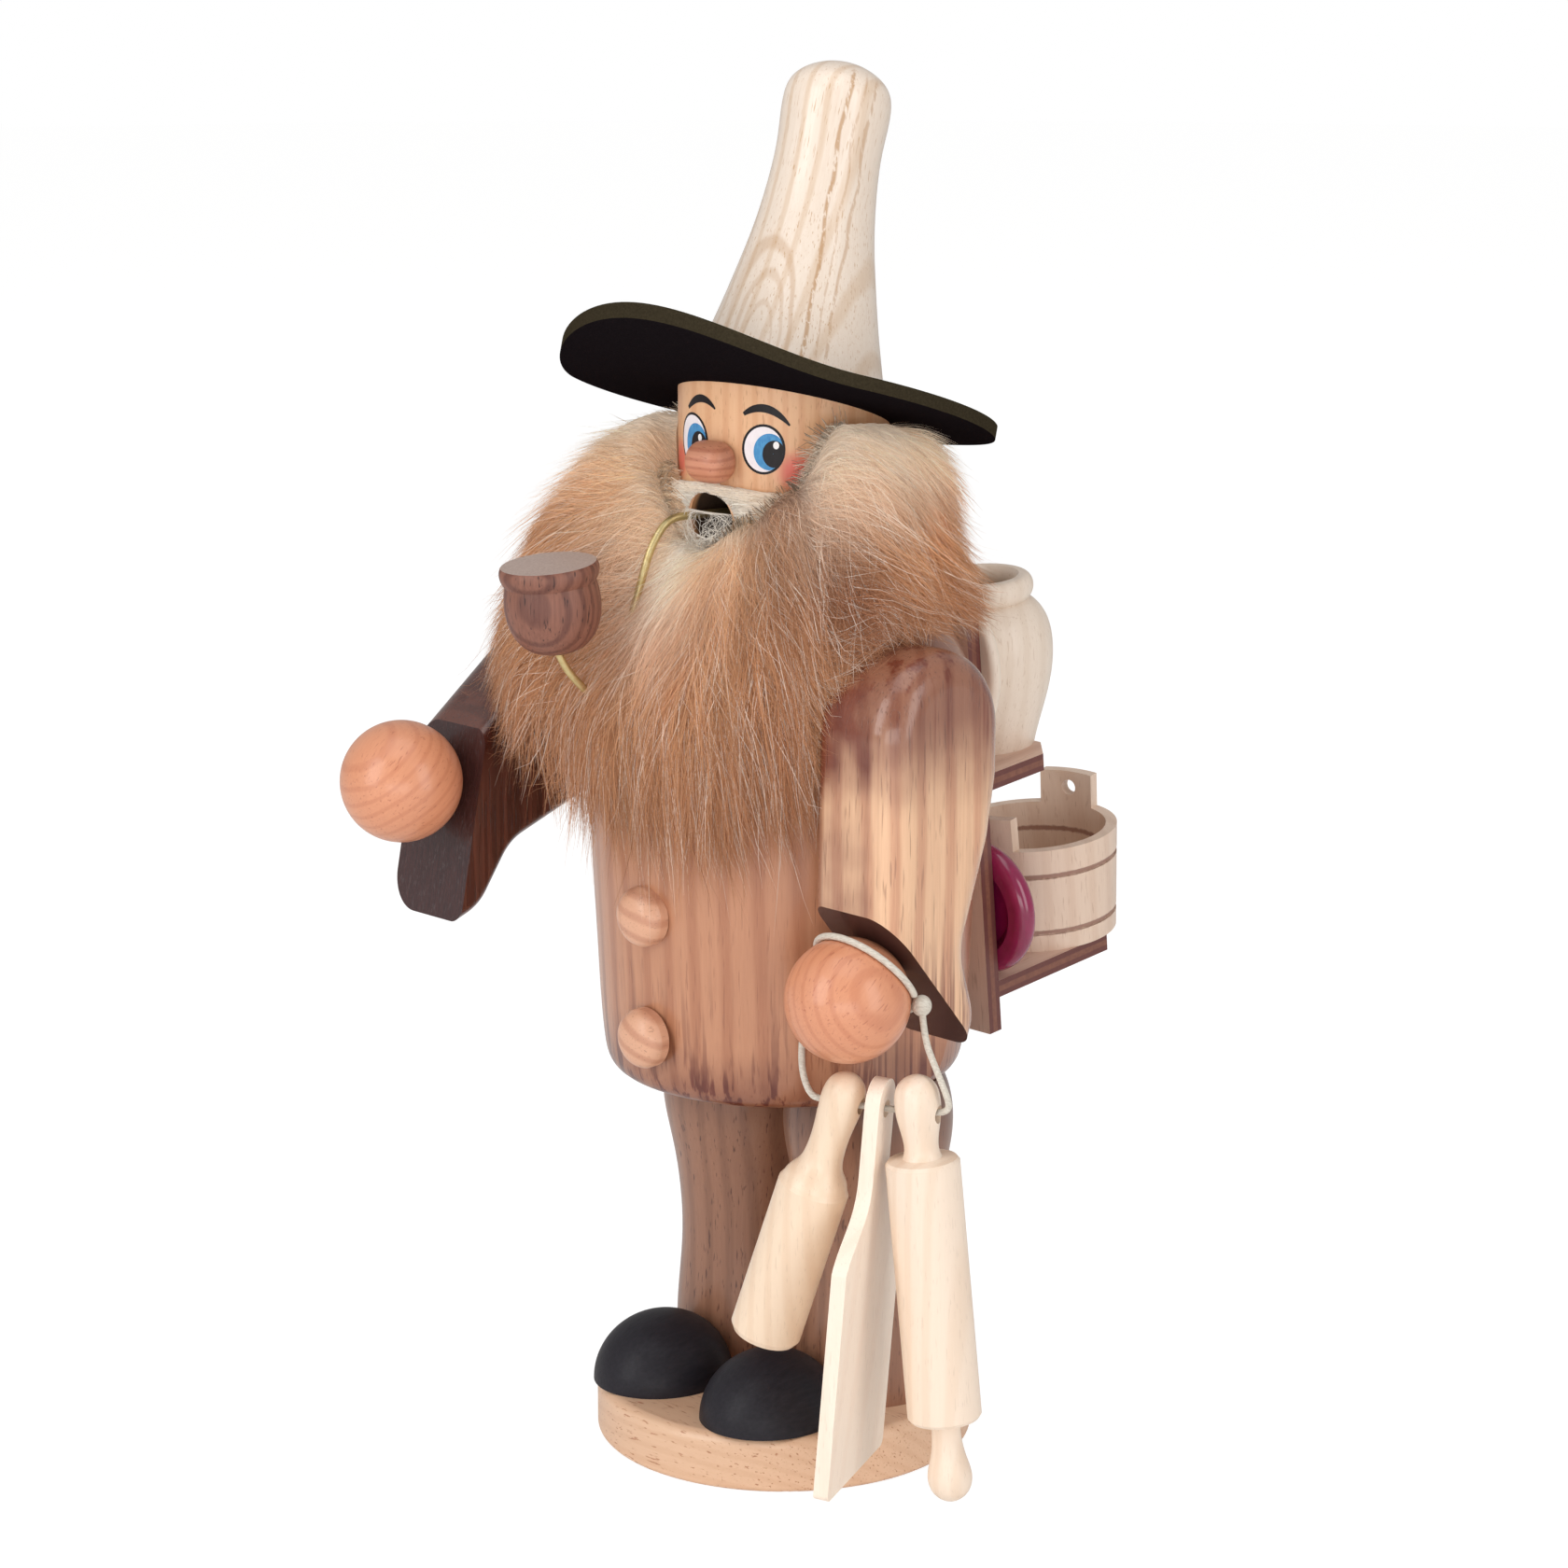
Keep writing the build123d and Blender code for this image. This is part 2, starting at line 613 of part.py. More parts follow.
# Arms, dowels, hands and pegs
for side, name, turn_angle in ((-1, "right", right_arm_turn), (1, "left", left_arm_turn)):
    frame = arm_frame(side, turn_angle)
    seat, out = hand_axis(side, turn_angle)
    inner_x = side * arm_gap
    outer_x = side * (arm_gap + arm_thickness)
    peg_foot = seat - out * hand_peg_in_arm
    dowel_inner = Vector(side * (arm_gap - shoulder_dowel_depth), -arm_shoulder_reach, shoulder_height)

    with BuildPart() as arm:
        extrude(arm_outline(frame, spare=arm_spare), amount=-side * arm_thickness)
        for face_x, rounding in ((outer_x, arm_outer_round), (inner_x, arm_inner_round)):
            rims = arm.edges().filter_by(lambda e: abs(e.center().X - face_x) < glue_gap)
            rims = rims.filter_by(lambda e: (e.center() - seat).dot(out) < arm_spare * arm_round_share)
            fillet(rims, radius=rounding)
        split(bisect_by=Plane(origin=seat, z_dir=out), keep=Keep.BOTTOM)
        rod(dowel_inner, Vector(side, 0, 0), shoulder_dowel_radius, 2 * shoulder_dowel_depth, Mode.SUBTRACT)
        rod(peg_foot, out, hand_peg_radius, hand_peg_in_arm + overrun, Mode.SUBTRACT)
    write(arm, f"{name}_arm")

    with BuildPart() as shoulder_dowel:
        rod(dowel_inner, Vector(side, 0, 0), shoulder_dowel_radius, 2 * shoulder_dowel_depth)
    write(shoulder_dowel, f"{name}_shoulder_dowel")

    with BuildPart() as hand_peg:
        rod(peg_foot, out, hand_peg_radius, hand_peg_in_arm + hand_seat)
    write(hand_peg, f"{name}_hand_peg")

    with BuildPart() as hand:
        ball_centre = seat + out * hand_seat
        ball_plane = turned_plane(ball_centre, out)
        with BuildSketch(ball_plane):
            Circle(hand_radius)
            with Locations((-hand_radius, 0)):
                Rectangle(2 * hand_radius, 2 * hand_radius + overrun, mode=Mode.SUBTRACT)
        revolve(axis=Axis(ball_centre, out))
        split(bisect_by=Plane(origin=seat, z_dir=out), keep=Keep.TOP)
        rod(seat, out, hand_peg_radius, hand_seat, Mode.SUBTRACT)
    write(hand, f"{name}_hand")

# Back panel and shelves
with BuildPart() as back_panel:
    with BuildSketch(panel_plane):
        with Locations((0, panel_height / 2)):
            Rectangle(panel_width, panel_height)
    extrude(amount=board_thickness)
    top_edges = back_panel.edges().filter_by(Axis(rack_foot, rack_back)).group_by(Axis.Z)[-1]
    chamfer(top_edges, length=rack_corner)
    for level in (lower_shelf_level, upper_shelf_level):
        with BuildSketch(shelf_plane(level)):
            with Locations((0, -board_thickness / 2)):
                Rectangle(tab_width + 2 * tab_clearance, board_thickness + 2 * overrun)
        extrude(amount=-board_thickness, mode=Mode.SUBTRACT)
write(back_panel, "back_panel")

for level, depth, name in ((lower_shelf_level, lower_shelf_depth, "lower_shelf"),
                           (upper_shelf_level, upper_shelf_depth, "upper_shelf")):
    with BuildPart() as shelf:
        with BuildSketch(shelf_plane(level)):
            with Locations((0, depth / 2)):
                Rectangle(panel_width, depth)
            with Locations((0, -board_thickness / 2)):
                Rectangle(tab_width, board_thickness)
        extrude(amount=-board_thickness)
        rear = shelf.edges().filter_by(Axis(rack_face, rack_up)).sort_by(Axis(rack_face, rack_back))[-2:]
        chamfer(rear, length=rack_corner)
    write(shelf, name)

# Pot
with BuildPart() as pot:
    pot_plane = turned_plane(spot(upper_shelf_level, pot_across, pot_back), rack_up)
    outside = joined(shared(pot_height, pot_radius, pot_side_shares), shared(pot_height, pot_radius, pot_rim_shares))
    turn(pot_plane, outside)
    turn(pot_plane, [shared(pot_height, pot_radius, pot_bore_shares[::-1])], mode=Mode.SUBTRACT)
write(pot, "pot")

# Bucket
with BuildPart() as bucket:
    bucket_foot = spot(lower_shelf_level, bucket_across, bucket_back)
    ear_angle = math.radians(ear_turn)
    ear_across = Vector(math.cos(ear_angle), 0, 0) + rack_back * math.sin(ear_angle)
    bucket_plane = turned_plane(bucket_foot, rack_up, ear_across)
    flare = (bucket_rim_radius - bucket_foot_radius) / bucket_height
    ear_level = bucket_height + ear_height
    with BuildSketch(bucket_plane):
        with BuildLine():
            Polyline((0, 0), (bucket_foot_radius, 0), (bucket_foot_radius + flare * ear_level, ear_level),
                     (bucket_foot_radius + flare * ear_level - bucket_wall, ear_level),
                     (bucket_foot_radius + flare * bucket_floor - bucket_wall, bucket_floor),
                     (0, bucket_floor), (0, 0))
        make_face()
    revolve(axis=Axis(bucket_foot, rack_up))
    rim_plane = Plane(origin=bucket_foot + rack_up * bucket_height, x_dir=bucket_plane.x_dir, z_dir=rack_up)
    with BuildSketch(rim_plane):
        side_width = 2 * bucket_rim_radius
        with Locations(((ear_width + side_width) / 2, 0), (-(ear_width + side_width) / 2, 0)):
            Rectangle(side_width, 2 * bucket_rim_radius + overrun)
    extrude(amount=ear_height + overrun, mode=Mode.SUBTRACT)
    ear_hole = bucket_foot + rack_up * (ear_level - ear_hole_drop) - rim_plane.y_dir * side_width
    rod(ear_hole, rim_plane.y_dir, ear_hole_radius, 2 * side_width, Mode.SUBTRACT)
    for share in hoop_shares:
        hoop_height = share * bucket_height
        hoop_radius = bucket_foot_radius + flare * hoop_height
        with BuildSketch(Plane(origin=bucket_foot + rack_up * hoop_height, x_dir=rack_back, z_dir=rack_up)):
            Circle(hoop_radius + overrun)
            Circle(hoop_radius - hoop_groove, mode=Mode.SUBTRACT)
        extrude(amount=hoop_width, mode=Mode.SUBTRACT)
write(bucket, "bucket")


# Plates
def plate_form(level, across, radius, thickness):
    """Turned plate on edge on a shelf, its dished face towards the panel."""
    centre = spot(level, across, plate_stand_off) + rack_up * (radius + plate_stand_off)
    rim = thickness / 2
    dish_radius = radius * (1 - plate_rim_share)
    dish_depth = thickness * plate_dish_share
    with BuildSketch(turned_plane(centre, rack_back)) as half:
        with BuildLine():
            Line((0, dish_depth), (dish_radius - dish_depth, dish_depth))
            Line((dish_radius - dish_depth, dish_depth), (dish_radius, 0))
            Line((dish_radius, 0), (radius - rim, 0))
            ThreePointArc((radius - rim, 0), (radius, rim), (radius - rim, thickness))
            Line((radius - rim, thickness), (0, thickness))
            Line((0, thickness), (0, dish_depth))
        make_face()
    revolve(half.sketch, axis=Axis(centre, rack_back))


with BuildPart() as large_plate:
    plate_form(upper_shelf_level, large_plate_across, large_plate_radius, large_plate_thickness)
write(large_plate, "large_plate")

with BuildPart() as small_plate:
    plate_form(lower_shelf_level, small_plate_across, small_plate_radius, small_plate_thickness)
write(small_plate, "small_plate")

# Pipe, in a vertical plane a little to the figure's right


def pipe_point(out, up):
    """Point of the pipe: out from the head's middle and up from the mouth's middle."""
    return mouth_centre + pipe_out * out + Vector(0, 0, up)


def pipe_lean(degrees):
    """Upward direction in the pipe's plane, leaning outward."""
    return pipe_out * math.sin(math.radians(degrees)) + Vector(0, 0, math.cos(math.radians(degrees)))


bowl_up = pipe_lean(bowl_lean)
bowl_foot = pipe_point(bowl_reach, -bowl_drop)
wire_entry = pipe_lean(bowl_wire_lean)
with BuildPart() as pipe_bowl:
    turn(turned_plane(bowl_foot, bowl_up), joined(shared(bowl_height, bowl_radius, bowl_side_shares),
                                                  shared(bowl_height, bowl_radius, bowl_rim_shares)))
    rod(bowl_foot - wire_entry * overrun, wire_entry, wire_radius, bowl_wire_depth + overrun, Mode.SUBTRACT)
write(pipe_bowl, "pipe_bowl")

wire_corners = [pipe_point(-smoke_radius - wire_set_depth, wire_rise)]
wire_corners.append(pipe_point(wire_bend_share * bowl_reach, wire_rise))
wire_corners += [pipe_point(out * bowl_reach, up * bowl_drop) for out, up in wire_corner_shares]
wire_corners += [bowl_foot - wire_entry * bowl_wire_run, bowl_foot + wire_entry * bowl_wire_depth]


def corner_radii(points, share=0.45):
    """Largest tangent arc at each inner corner of a route."""
    radii = []
    for before, here, after in zip(points, points[1:], points[2:]):
        run = min((here - before).length, (after - here).length)
        half_turn = math.radians((here - before).get_angle(after - here)) / 2
        radii.append(share * run / math.tan(half_turn))
    return radii


def tube(points, radius):
    """Round tube along straight runs joined by tangent arcs."""
    with BuildLine() as route:
        FilletPolyline(*points, radius=corner_radii(points))
    path = route.wires()[0]
    with BuildSketch(Plane(origin=path @ 0, z_dir=path % 0)) as section:
        Circle(radius)
    sweep(section.sketch, path=path)
    return path.length


with BuildPart() as pipe_stem:
    wire_length = tube(wire_corners, wire_radius)
write(pipe_stem, "pipe_stem")
print("pipe wire length", round(wire_length, 1), "radii", [round(r, 1) for r in corner_radii(wire_corners)])

# Row of kitchen tools: along the string, and out from the figure
row_angle = math.radians(row_turn)
row_along = Vector(math.cos(row_angle), math.sin(row_angle), 0)
row_face = Vector(math.sin(row_angle), -math.cos(row_angle), 0)


def row_point(along, out, up):
    return row_along * along + row_face * out + Vector(0, 0, up)


def hanging_up(lean_angle):
    """Direction up a hanging tool whose foot swings along the row."""
    angle = math.radians(lean_angle)
    return Vector(0, 0, math.cos(angle)) - row_along * math.sin(angle)


def hang_hole(along):
    """Bore for the string, on the line the tools swing about."""
    start = row_point(along - masher_length, row_out, string_height)
    rod(start, row_along, tool_hole_radius, 2 * masher_length, Mode.SUBTRACT)


def turned_tool(along, lean_angle, length, radius, top, groups):
    up = hanging_up(lean_angle)
    foot = row_point(along, row_out, string_height) - up * (length - top)
    runs = joined(*[shared(length, radius, group) for group in groups])
    turn(turned_plane(foot, up, row_face), runs)
    hang_hole(along)


with BuildPart() as masher:
    turned_tool(masher_along, masher_lean, masher_length, masher_radius, masher_top,
                (masher_knob_shares, masher_shoulder_shares, masher_foot_shares))
write(masher, "masher")

with BuildPart() as rolling_pin:
    turned_tool(rolling_pin_along, rolling_pin_lean, rolling_pin_length, rolling_pin_radius, rolling_pin_top,
                (pin_knob_shares, pin_shoulder_shares, pin_end_shares, pin_foot_shares))
write(rolling_pin, "rolling_pin")

with BuildPart() as cutting_board:
    board_up = hanging_up(cutting_board_lean)
    board_origin = row_point(cutting_board_along, row_out, string_height)
    board_plane = Plane(origin=board_origin, x_dir=row_face, z_dir=row_face.cross(board_up))
    handle_foot = -handle_length
    shoulder_foot = handle_foot - shoulder_length
    blade_foot = shoulder_foot - blade_length
    crest = cutting_board_top
    with BuildSketch(board_plane):
        with BuildLine():
            ThreePointArc((handle_half_width, crest - handle_half_width), (0, crest),
                          (-handle_half_width, crest - handle_half_width))
            for side in (-1, 1):
                Line((side * handle_half_width, crest - handle_half_width), (side * handle_half_width, handle_foot))
                Spline((side * handle_half_width, handle_foot), (side * blade_half_width, shoulder_foot),
                       tangents=((0, -1), (side * 0.5, -1)))
                Line((side * blade_half_width, shoulder_foot), (side * blade_half_width, blade_foot))
            Line((-blade_half_width, blade_foot), (blade_half_width, blade_foot))
        make_face()
    extrude(amount=cutting_board_thickness / 2, both=True)
    foot_corners = cutting_board.edges().filter_by(Axis(board_origin, board_plane.z_dir)).group_by(Axis.Z)[0]
    fillet(foot_corners, radius=blade_corner)
    hang_hole(cutting_board_along)
write(cutting_board, "cutting_board")

# String round the left wrist, its knot, and the free part that carries the tools
left_seat, left_out = hand_axis(1, left_arm_turn)
left_ball = left_seat + left_out * hand_seat
loop_centre = left_ball - left_out * loop_setback
loop_radius = math.sqrt((hand_radius + string_radius + string_gap) ** 2 - loop_setback ** 2)
loop_rise = Vector(1, 0, 0).cross(left_out).normalized() * -1


def loop_direction(angle):
    turn_angle = math.radians(angle)
    return Vector(math.cos(turn_angle), 0, 0) + loop_rise * math.sin(turn_angle)


open_start = loop_direction(knot_angle + loop_open_angle / 2)
loop_turn_axis = Vector(1, 0, 0).cross(loop_rise)
with BuildPart() as wrist_loop:
    start_plane = Plane(origin=loop_centre + open_start * loop_radius, x_dir=open_start,
                        z_dir=open_start.cross(loop_turn_axis))
    with BuildSketch(start_plane):
        Circle(string_radius)
    revolve(axis=Axis(loop_centre, loop_turn_axis), revolution_arc=360 - loop_open_angle)
write(wrist_loop, "wrist_loop")

knot_out = loop_direction(knot_angle)
knot_centre = loop_centre + knot_out * (loop_radius + knot_radius - string_radius + string_gap)
with BuildPart() as string_knot:
    knot_along = knot_out.cross(loop_turn_axis)
    with BuildSketch(Plane(origin=knot_centre, x_dir=knot_along, z_dir=loop_turn_axis)):
        Ellipse(knot_half_length, knot_radius)
        with Locations((0, -knot_radius)):
            Rectangle(2 * knot_half_length + overrun, 2 * knot_radius, mode=Mode.SUBTRACT)
    revolve(axis=Axis(knot_centre, knot_along))
write(string_knot, "string_knot")

loop_meet = loop_centre + loop_direction(loop_meet_angle) * loop_radius
string_points = [knot_centre] + [row_point(*place) for place in string_route] + [loop_meet]
with BuildPart() as hanging_string:
    string_length = tube(string_points, string_radius)
write(hanging_string, "hanging_string")
section = math.pi * string_radius ** 2
print("string length", round(string_length, 1), "radii", [round(r, 1) for r in corner_radii(string_points)])
print("string volume over section and length", round(hanging_string.part.volume / (section * string_length), 3))


# Beard and hair
def fur_body(rows):
    """Full outer form of a piece of fur, through oval sections from its fringe up to the brim."""
    sections = []
    for height, across, forward, half_width, half_depth in rows:
        with BuildSketch(Plane.XY.offset(hem_height + height)) as section:
            with Locations((across, -forward)):
                Ellipse(half_width, half_depth)
        sections.append(section.sketch)
    loft(sections)


def arm_space(side, turn_angle):
    """Room for an arm, its cuff and the hand in front of it."""
    outline = arm_outline(arm_frame(side, turn_angle).offset(side * fur_gap), fur_gap)
    extrude(outline, amount=-side * (arm_thickness + arm_gap))


with BuildPart(mode=Mode.PRIVATE) as fur_room:
    coat_form(fur_gap)

with BuildPart(mode=Mode.PRIVATE) as head_room:
    head_form(fur_gap)

with BuildPart(mode=Mode.PRIVATE) as right_arm_room:
    arm_space(-1, right_arm_turn)

with BuildPart(mode=Mode.PRIVATE) as left_arm_room:
    arm_space(1, left_arm_turn)

with BuildPart(mode=Mode.PRIVATE) as wire_room:
    tube(wire_corners, wire_radius + fur_gap)

with BuildPart(mode=Mode.PRIVATE) as bowl_room:
    rod(bowl_foot - bowl_up * fur_gap, bowl_up, bowl_radius + fur_gap, bowl_height + 2 * fur_gap)

for keep, rows, name in ((Keep.BOTTOM, beard_sections, "beard"), (Keep.TOP, hair_sections, "hair")):
    with BuildPart() as fur:
        fur_body(rows)
        split_side = fur_gap / 2 if keep == Keep.TOP else -fur_gap / 2
        split(bisect_by=Plane(origin=(0, -fur_split_reach + split_side, 0), z_dir=(0, 1, 0)), keep=keep)
        split(bisect_by=Plane(origin=hat_seat - hat_up * fur_gap, z_dir=hat_up), keep=Keep.BOTTOM)
        for room in (fur_room, head_room, right_arm_room, left_arm_room):
            add(room.part, mode=Mode.SUBTRACT)
        if keep == Keep.BOTTOM:
            add(wire_room.part, mode=Mode.SUBTRACT)
            add(bowl_room.part, mode=Mode.SUBTRACT)
            with BuildSketch(Plane(origin=(0, 0, neck_height + face_height), x_dir=(1, 0, 0), z_dir=(0, -1, 0))):
                Ellipse(face_half_width, face_half_height)
            extrude(amount=2 * head_radius + brim_radius, mode=Mode.SUBTRACT)
            rod(mouth_centre, Vector(0, -1, 0), mouth_radius, 2 * head_radius + brim_radius, Mode.SUBTRACT)
        else:
            split(bisect_by=Plane(origin=rack_foot - rack_back * fur_gap, z_dir=rack_back), keep=Keep.BOTTOM)
    pieces = fur.part.solids().sort_by(SortBy.VOLUME)
    print(name, "pieces", [round(piece.volume, 1) for piece in pieces])
    write(fur, name)
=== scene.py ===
import math

import bpy
import numpy as np
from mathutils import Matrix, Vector


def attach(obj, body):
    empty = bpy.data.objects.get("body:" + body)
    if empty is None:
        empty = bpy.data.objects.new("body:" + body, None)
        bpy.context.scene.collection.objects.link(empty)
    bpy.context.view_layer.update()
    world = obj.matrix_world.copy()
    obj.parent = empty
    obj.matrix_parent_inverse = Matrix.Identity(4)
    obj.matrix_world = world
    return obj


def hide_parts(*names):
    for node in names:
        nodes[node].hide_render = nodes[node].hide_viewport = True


# A turned wooden incense smoker with fur beard, felt brim, painted face and a rack of woodware.
# Metres, +Z up, the figure faces -Y and its own left is +X.

mm = 0.001
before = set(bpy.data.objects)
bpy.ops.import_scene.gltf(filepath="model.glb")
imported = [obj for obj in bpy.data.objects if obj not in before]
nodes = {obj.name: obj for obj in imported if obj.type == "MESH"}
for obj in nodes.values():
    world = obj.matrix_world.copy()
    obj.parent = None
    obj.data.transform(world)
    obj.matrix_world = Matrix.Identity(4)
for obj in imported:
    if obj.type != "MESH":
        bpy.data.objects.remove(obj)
seed = np.random.default_rng(12)
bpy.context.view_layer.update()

# Landmarks of the figure
hem_height = 66.0 * mm
neck_height = 150.0 * mm
head_radius = 17.5 * mm
coat_radius = 32.5 * mm
mouth_height = 161.5 * mm
mouth_radius = 4.9 * mm
hat_seat_height = 178.5 * mm
hat_slope = (-0.07, 0.33, 1.0)
rack_lean = math.radians(5.6)
rack_up = (0.0, -math.sin(rack_lean), math.cos(rack_lean))
rack_back = (0.0, math.cos(rack_lean), math.sin(rack_lean))
board_thickness = 3.0


def shade_smooth(mesh):
    mesh.polygons.foreach_set("use_smooth", np.ones(len(mesh.polygons), bool))


def add_object(name, data):
    made = bpy.data.objects.new(name, data)
    bpy.context.scene.collection.objects.link(made)
    return made


# Camera
def add_camera():
    """Camera that sees the figure from its front left, a little from above."""
    azimuth = math.radians(44.7)
    reach = 677.0 * mm
    height = 276.0 * mm
    pitch = math.radians(13.43)
    data = bpy.data.cameras.new("camera")
    data.sensor_width = 36.0
    data.lens = 94.78
    camera = add_object("camera", data)
    outward = Vector((math.sin(azimuth), -math.cos(azimuth), 0))
    camera.location = outward * reach + Vector((0, 0, height))
    camera.rotation_euler = (math.pi / 2 - pitch, 0, azimuth)
    bpy.context.scene.camera = camera


add_camera()

# Free string that carries the tools: the same control points as the solid one
row_turn = math.radians(24.0)
string_diameter = 1.1 * mm
string_route = (
    (37.4, 35.9, 83.9), (40.0, 37.6, 79.6), (42.2, 38.7, 75.8), (42.6, 37.9, 73.1),
    (39.9, 37.5, 72.0), (20.2, 37.5, 72.0), (18.0, 36.9, 73.3), (16.2, 35.2, 76.9), (15.2, 31.6, 82.2),
    (16.4, 28.9, 87.4),
)
string_start = (47.157, -16.426, 88.7)
string_end = (29.461, -17.951, 90.51)


def row_point(along, out, up):
    """Point in the row of tools: along the string, out from the figure, and up."""
    x = along * math.cos(row_turn) + out * math.sin(row_turn)
    y = along * math.sin(row_turn) - out * math.cos(row_turn)
    return x, y, up


def curve_mesh(guide):
    """Mesh of a curve object as it stands: its line alone, or a tube once it has a bevel."""
    graph = bpy.context.evaluated_depsgraph_get()
    return bpy.data.meshes.new_from_object(guide.evaluated_get(graph))


def add_string():
    """Mesh tube along a smooth line through the route."""
    points = [string_start] + [row_point(*place) for place in string_route] + [string_end]
    curve = bpy.data.curves.new("string", "CURVE")
    curve.dimensions = "3D"
    curve.bevel_resolution = 4
    curve.resolution_u = 12
    curve.use_fill_caps = True
    line = curve.splines.new("NURBS")
    line.points.add(len(points) - 1)
    for spot, point in zip(line.points, points):
        spot.co = (*[value * mm for value in point], 1.0)
    line.order_u = 3
    line.use_endpoint_u = True
    guide = add_object("string_guide", curve)
    path = [tuple(vertex.co) for vertex in curve_mesh(guide).vertices]
    curve.bevel_depth = string_diameter / 2
    mesh = curve_mesh(guide)
    bpy.data.objects.remove(guide)
    shade_smooth(mesh)
    string = add_object("string", mesh)
    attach(string, "upper_body")
    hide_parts("hanging_string")
    return string


string = add_string()


# Materials
def srgb(red, green, blue):
    """Screen colour from 0 to 255 as the light values that the shaders take."""
    shares = [value / 255 for value in (red, green, blue)]
    return tuple(((share + 0.055) / 1.055) ** 2.4 if share > 0.04 else share / 12.92
                 for share in shares)


class Tree:
    """One material with short ways to add its shader nodes; its places are in millimetres."""

    def __init__(self, name):
        self.material = bpy.data.materials.new(name)
        self.material.use_nodes = True
        self.nodes = self.material.node_tree.nodes
        self.links = self.material.node_tree.links
        self.surface = self.nodes["Principled BSDF"]
        self.output = self.nodes["Material Output"]
        place = self.nodes.new("ShaderNodeTexCoord")
        self.place = self.vector("SCALE", place.outputs["Object"], scale=1 / mm)

    def feed(self, socket, value):
        if isinstance(value, bpy.types.NodeSocket):
            self.links.new(value, socket)
        elif socket.type == "RGBA":
            socket.default_value = (*value[:3], 1.0)
        else:
            socket.default_value = value

    def feed_all(self, node, values):
        for name, value in values.items():
            self.feed(node.inputs[name], value)

    def math(self, operation, first, second=0.0, clamp=False):
        node = self.nodes.new("ShaderNodeMath")
        node.operation = operation
        node.use_clamp = clamp
        self.feed(node.inputs[0], first)
        self.feed(node.inputs[1], second)
        return node.outputs[0]

    def vector(self, operation, first, second=None, scale=None):
        node = self.nodes.new("ShaderNodeVectorMath")
        node.operation = operation
        self.feed(node.inputs[0], first)
        if second is not None:
            self.feed(node.inputs[1], second)
        if scale is not None:
            self.feed(node.inputs["Scale"], scale)
        is_number = operation in ("DOT_PRODUCT", "LENGTH", "DISTANCE")
        return node.outputs["Value" if is_number else "Vector"]

    def part(self, vector, axis):
        node = self.nodes.new("ShaderNodeSeparateXYZ")
        self.feed(node.inputs[0], vector)
        return node.outputs[axis]

    def turned(self, vector, angles):
        node = self.nodes.new("ShaderNodeVectorRotate")
        node.rotation_type = "EULER_XYZ"
        self.feed(node.inputs["Vector"], vector)
        node.inputs["Rotation"].default_value = [math.radians(angle) for angle in angles]
        return node.outputs[0]

    def noise(self, scale, detail=3.0, roughness=0.55, distortion=0.0, place=None):
        """Cloudy value from 0 to 1; scale is one number or one for each axis, per millimetre."""
        if place is None:
            place = self.place
        if isinstance(scale, tuple):
            place = self.vector("MULTIPLY", place, scale)
            scale = 1.0
        node = self.nodes.new("ShaderNodeTexNoise")
        self.feed_all(node, {"Vector": place, "Scale": scale, "Detail": detail,
                             "Roughness": roughness, "Distortion": distortion})
        return node.outputs["Fac"]

    def step(self, value, low, high):
        """Smooth rise from 0 at low to 1 at high, or a fall where low is the larger."""
        node = self.nodes.new("ShaderNodeMapRange")
        node.interpolation_type = "SMOOTHSTEP"
        falling = low > high
        self.feed_all(node, {"Value": value, "From Min": min(low, high), "From Max": max(low, high),
                             "To Min": float(falling), "To Max": float(not falling)})
        return node.outputs[0]

    def mix(self, factor, first, second, way="MIX"):
        node = self.nodes.new("ShaderNodeMix")
        node.data_type = "RGBA"
        node.blend_type = way
        self.feed(node.inputs[0], factor)
        self.feed(node.inputs[6], first)
        self.feed(node.inputs[7], second)
        return node.outputs[2]

    def product(self, *values):
        result = values[0]
        for value in values[1:]:
            result = self.math("MULTIPLY", result, value)
        return result

    def total(self, *terms):
        """Sum of values times their weights, held between 0 and 1."""
        result = self.product(*terms[0])
        for term in terms[1:]:
            result = self.math("ADD", result, self.product(*term), clamp=True)
        return result

    def away(self, value, middle):
        """Distance of a value from a middle, without its sign."""
        return self.math("ABSOLUTE", self.math("SUBTRACT", value, middle))

    def facing(self, direction):
        """How far the surface looks in a direction, from -1 to 1."""
        normal = self.nodes.new("ShaderNodeNewGeometry").outputs["Normal"]
        return self.vector("DOT_PRODUCT", normal, direction)

    def bump(self, height, depth, strength=1.0):
        """Relief from a height of 0 to 1, that many millimetres deep."""
        node = self.nodes.new("ShaderNodeBump")
        self.feed_all(node, {"Strength": strength, "Distance": depth * mm, "Height": height})
        self.links.new(node.outputs[0], self.surface.inputs["Normal"])

    def finish(self, colour, roughness=0.5, coat=0.0, metallic=0.0, specular=0.5):
        """Set the surface's main values; a coat is varnish of its own fixed gloss."""
        self.feed_all(self.surface, {"Base Color": colour, "Roughness": roughness,
                                     "Metallic": metallic, "Specular IOR Level": specular,
                                     "Coat Weight": coat, "Coat Roughness": 0.12})
        return self.material


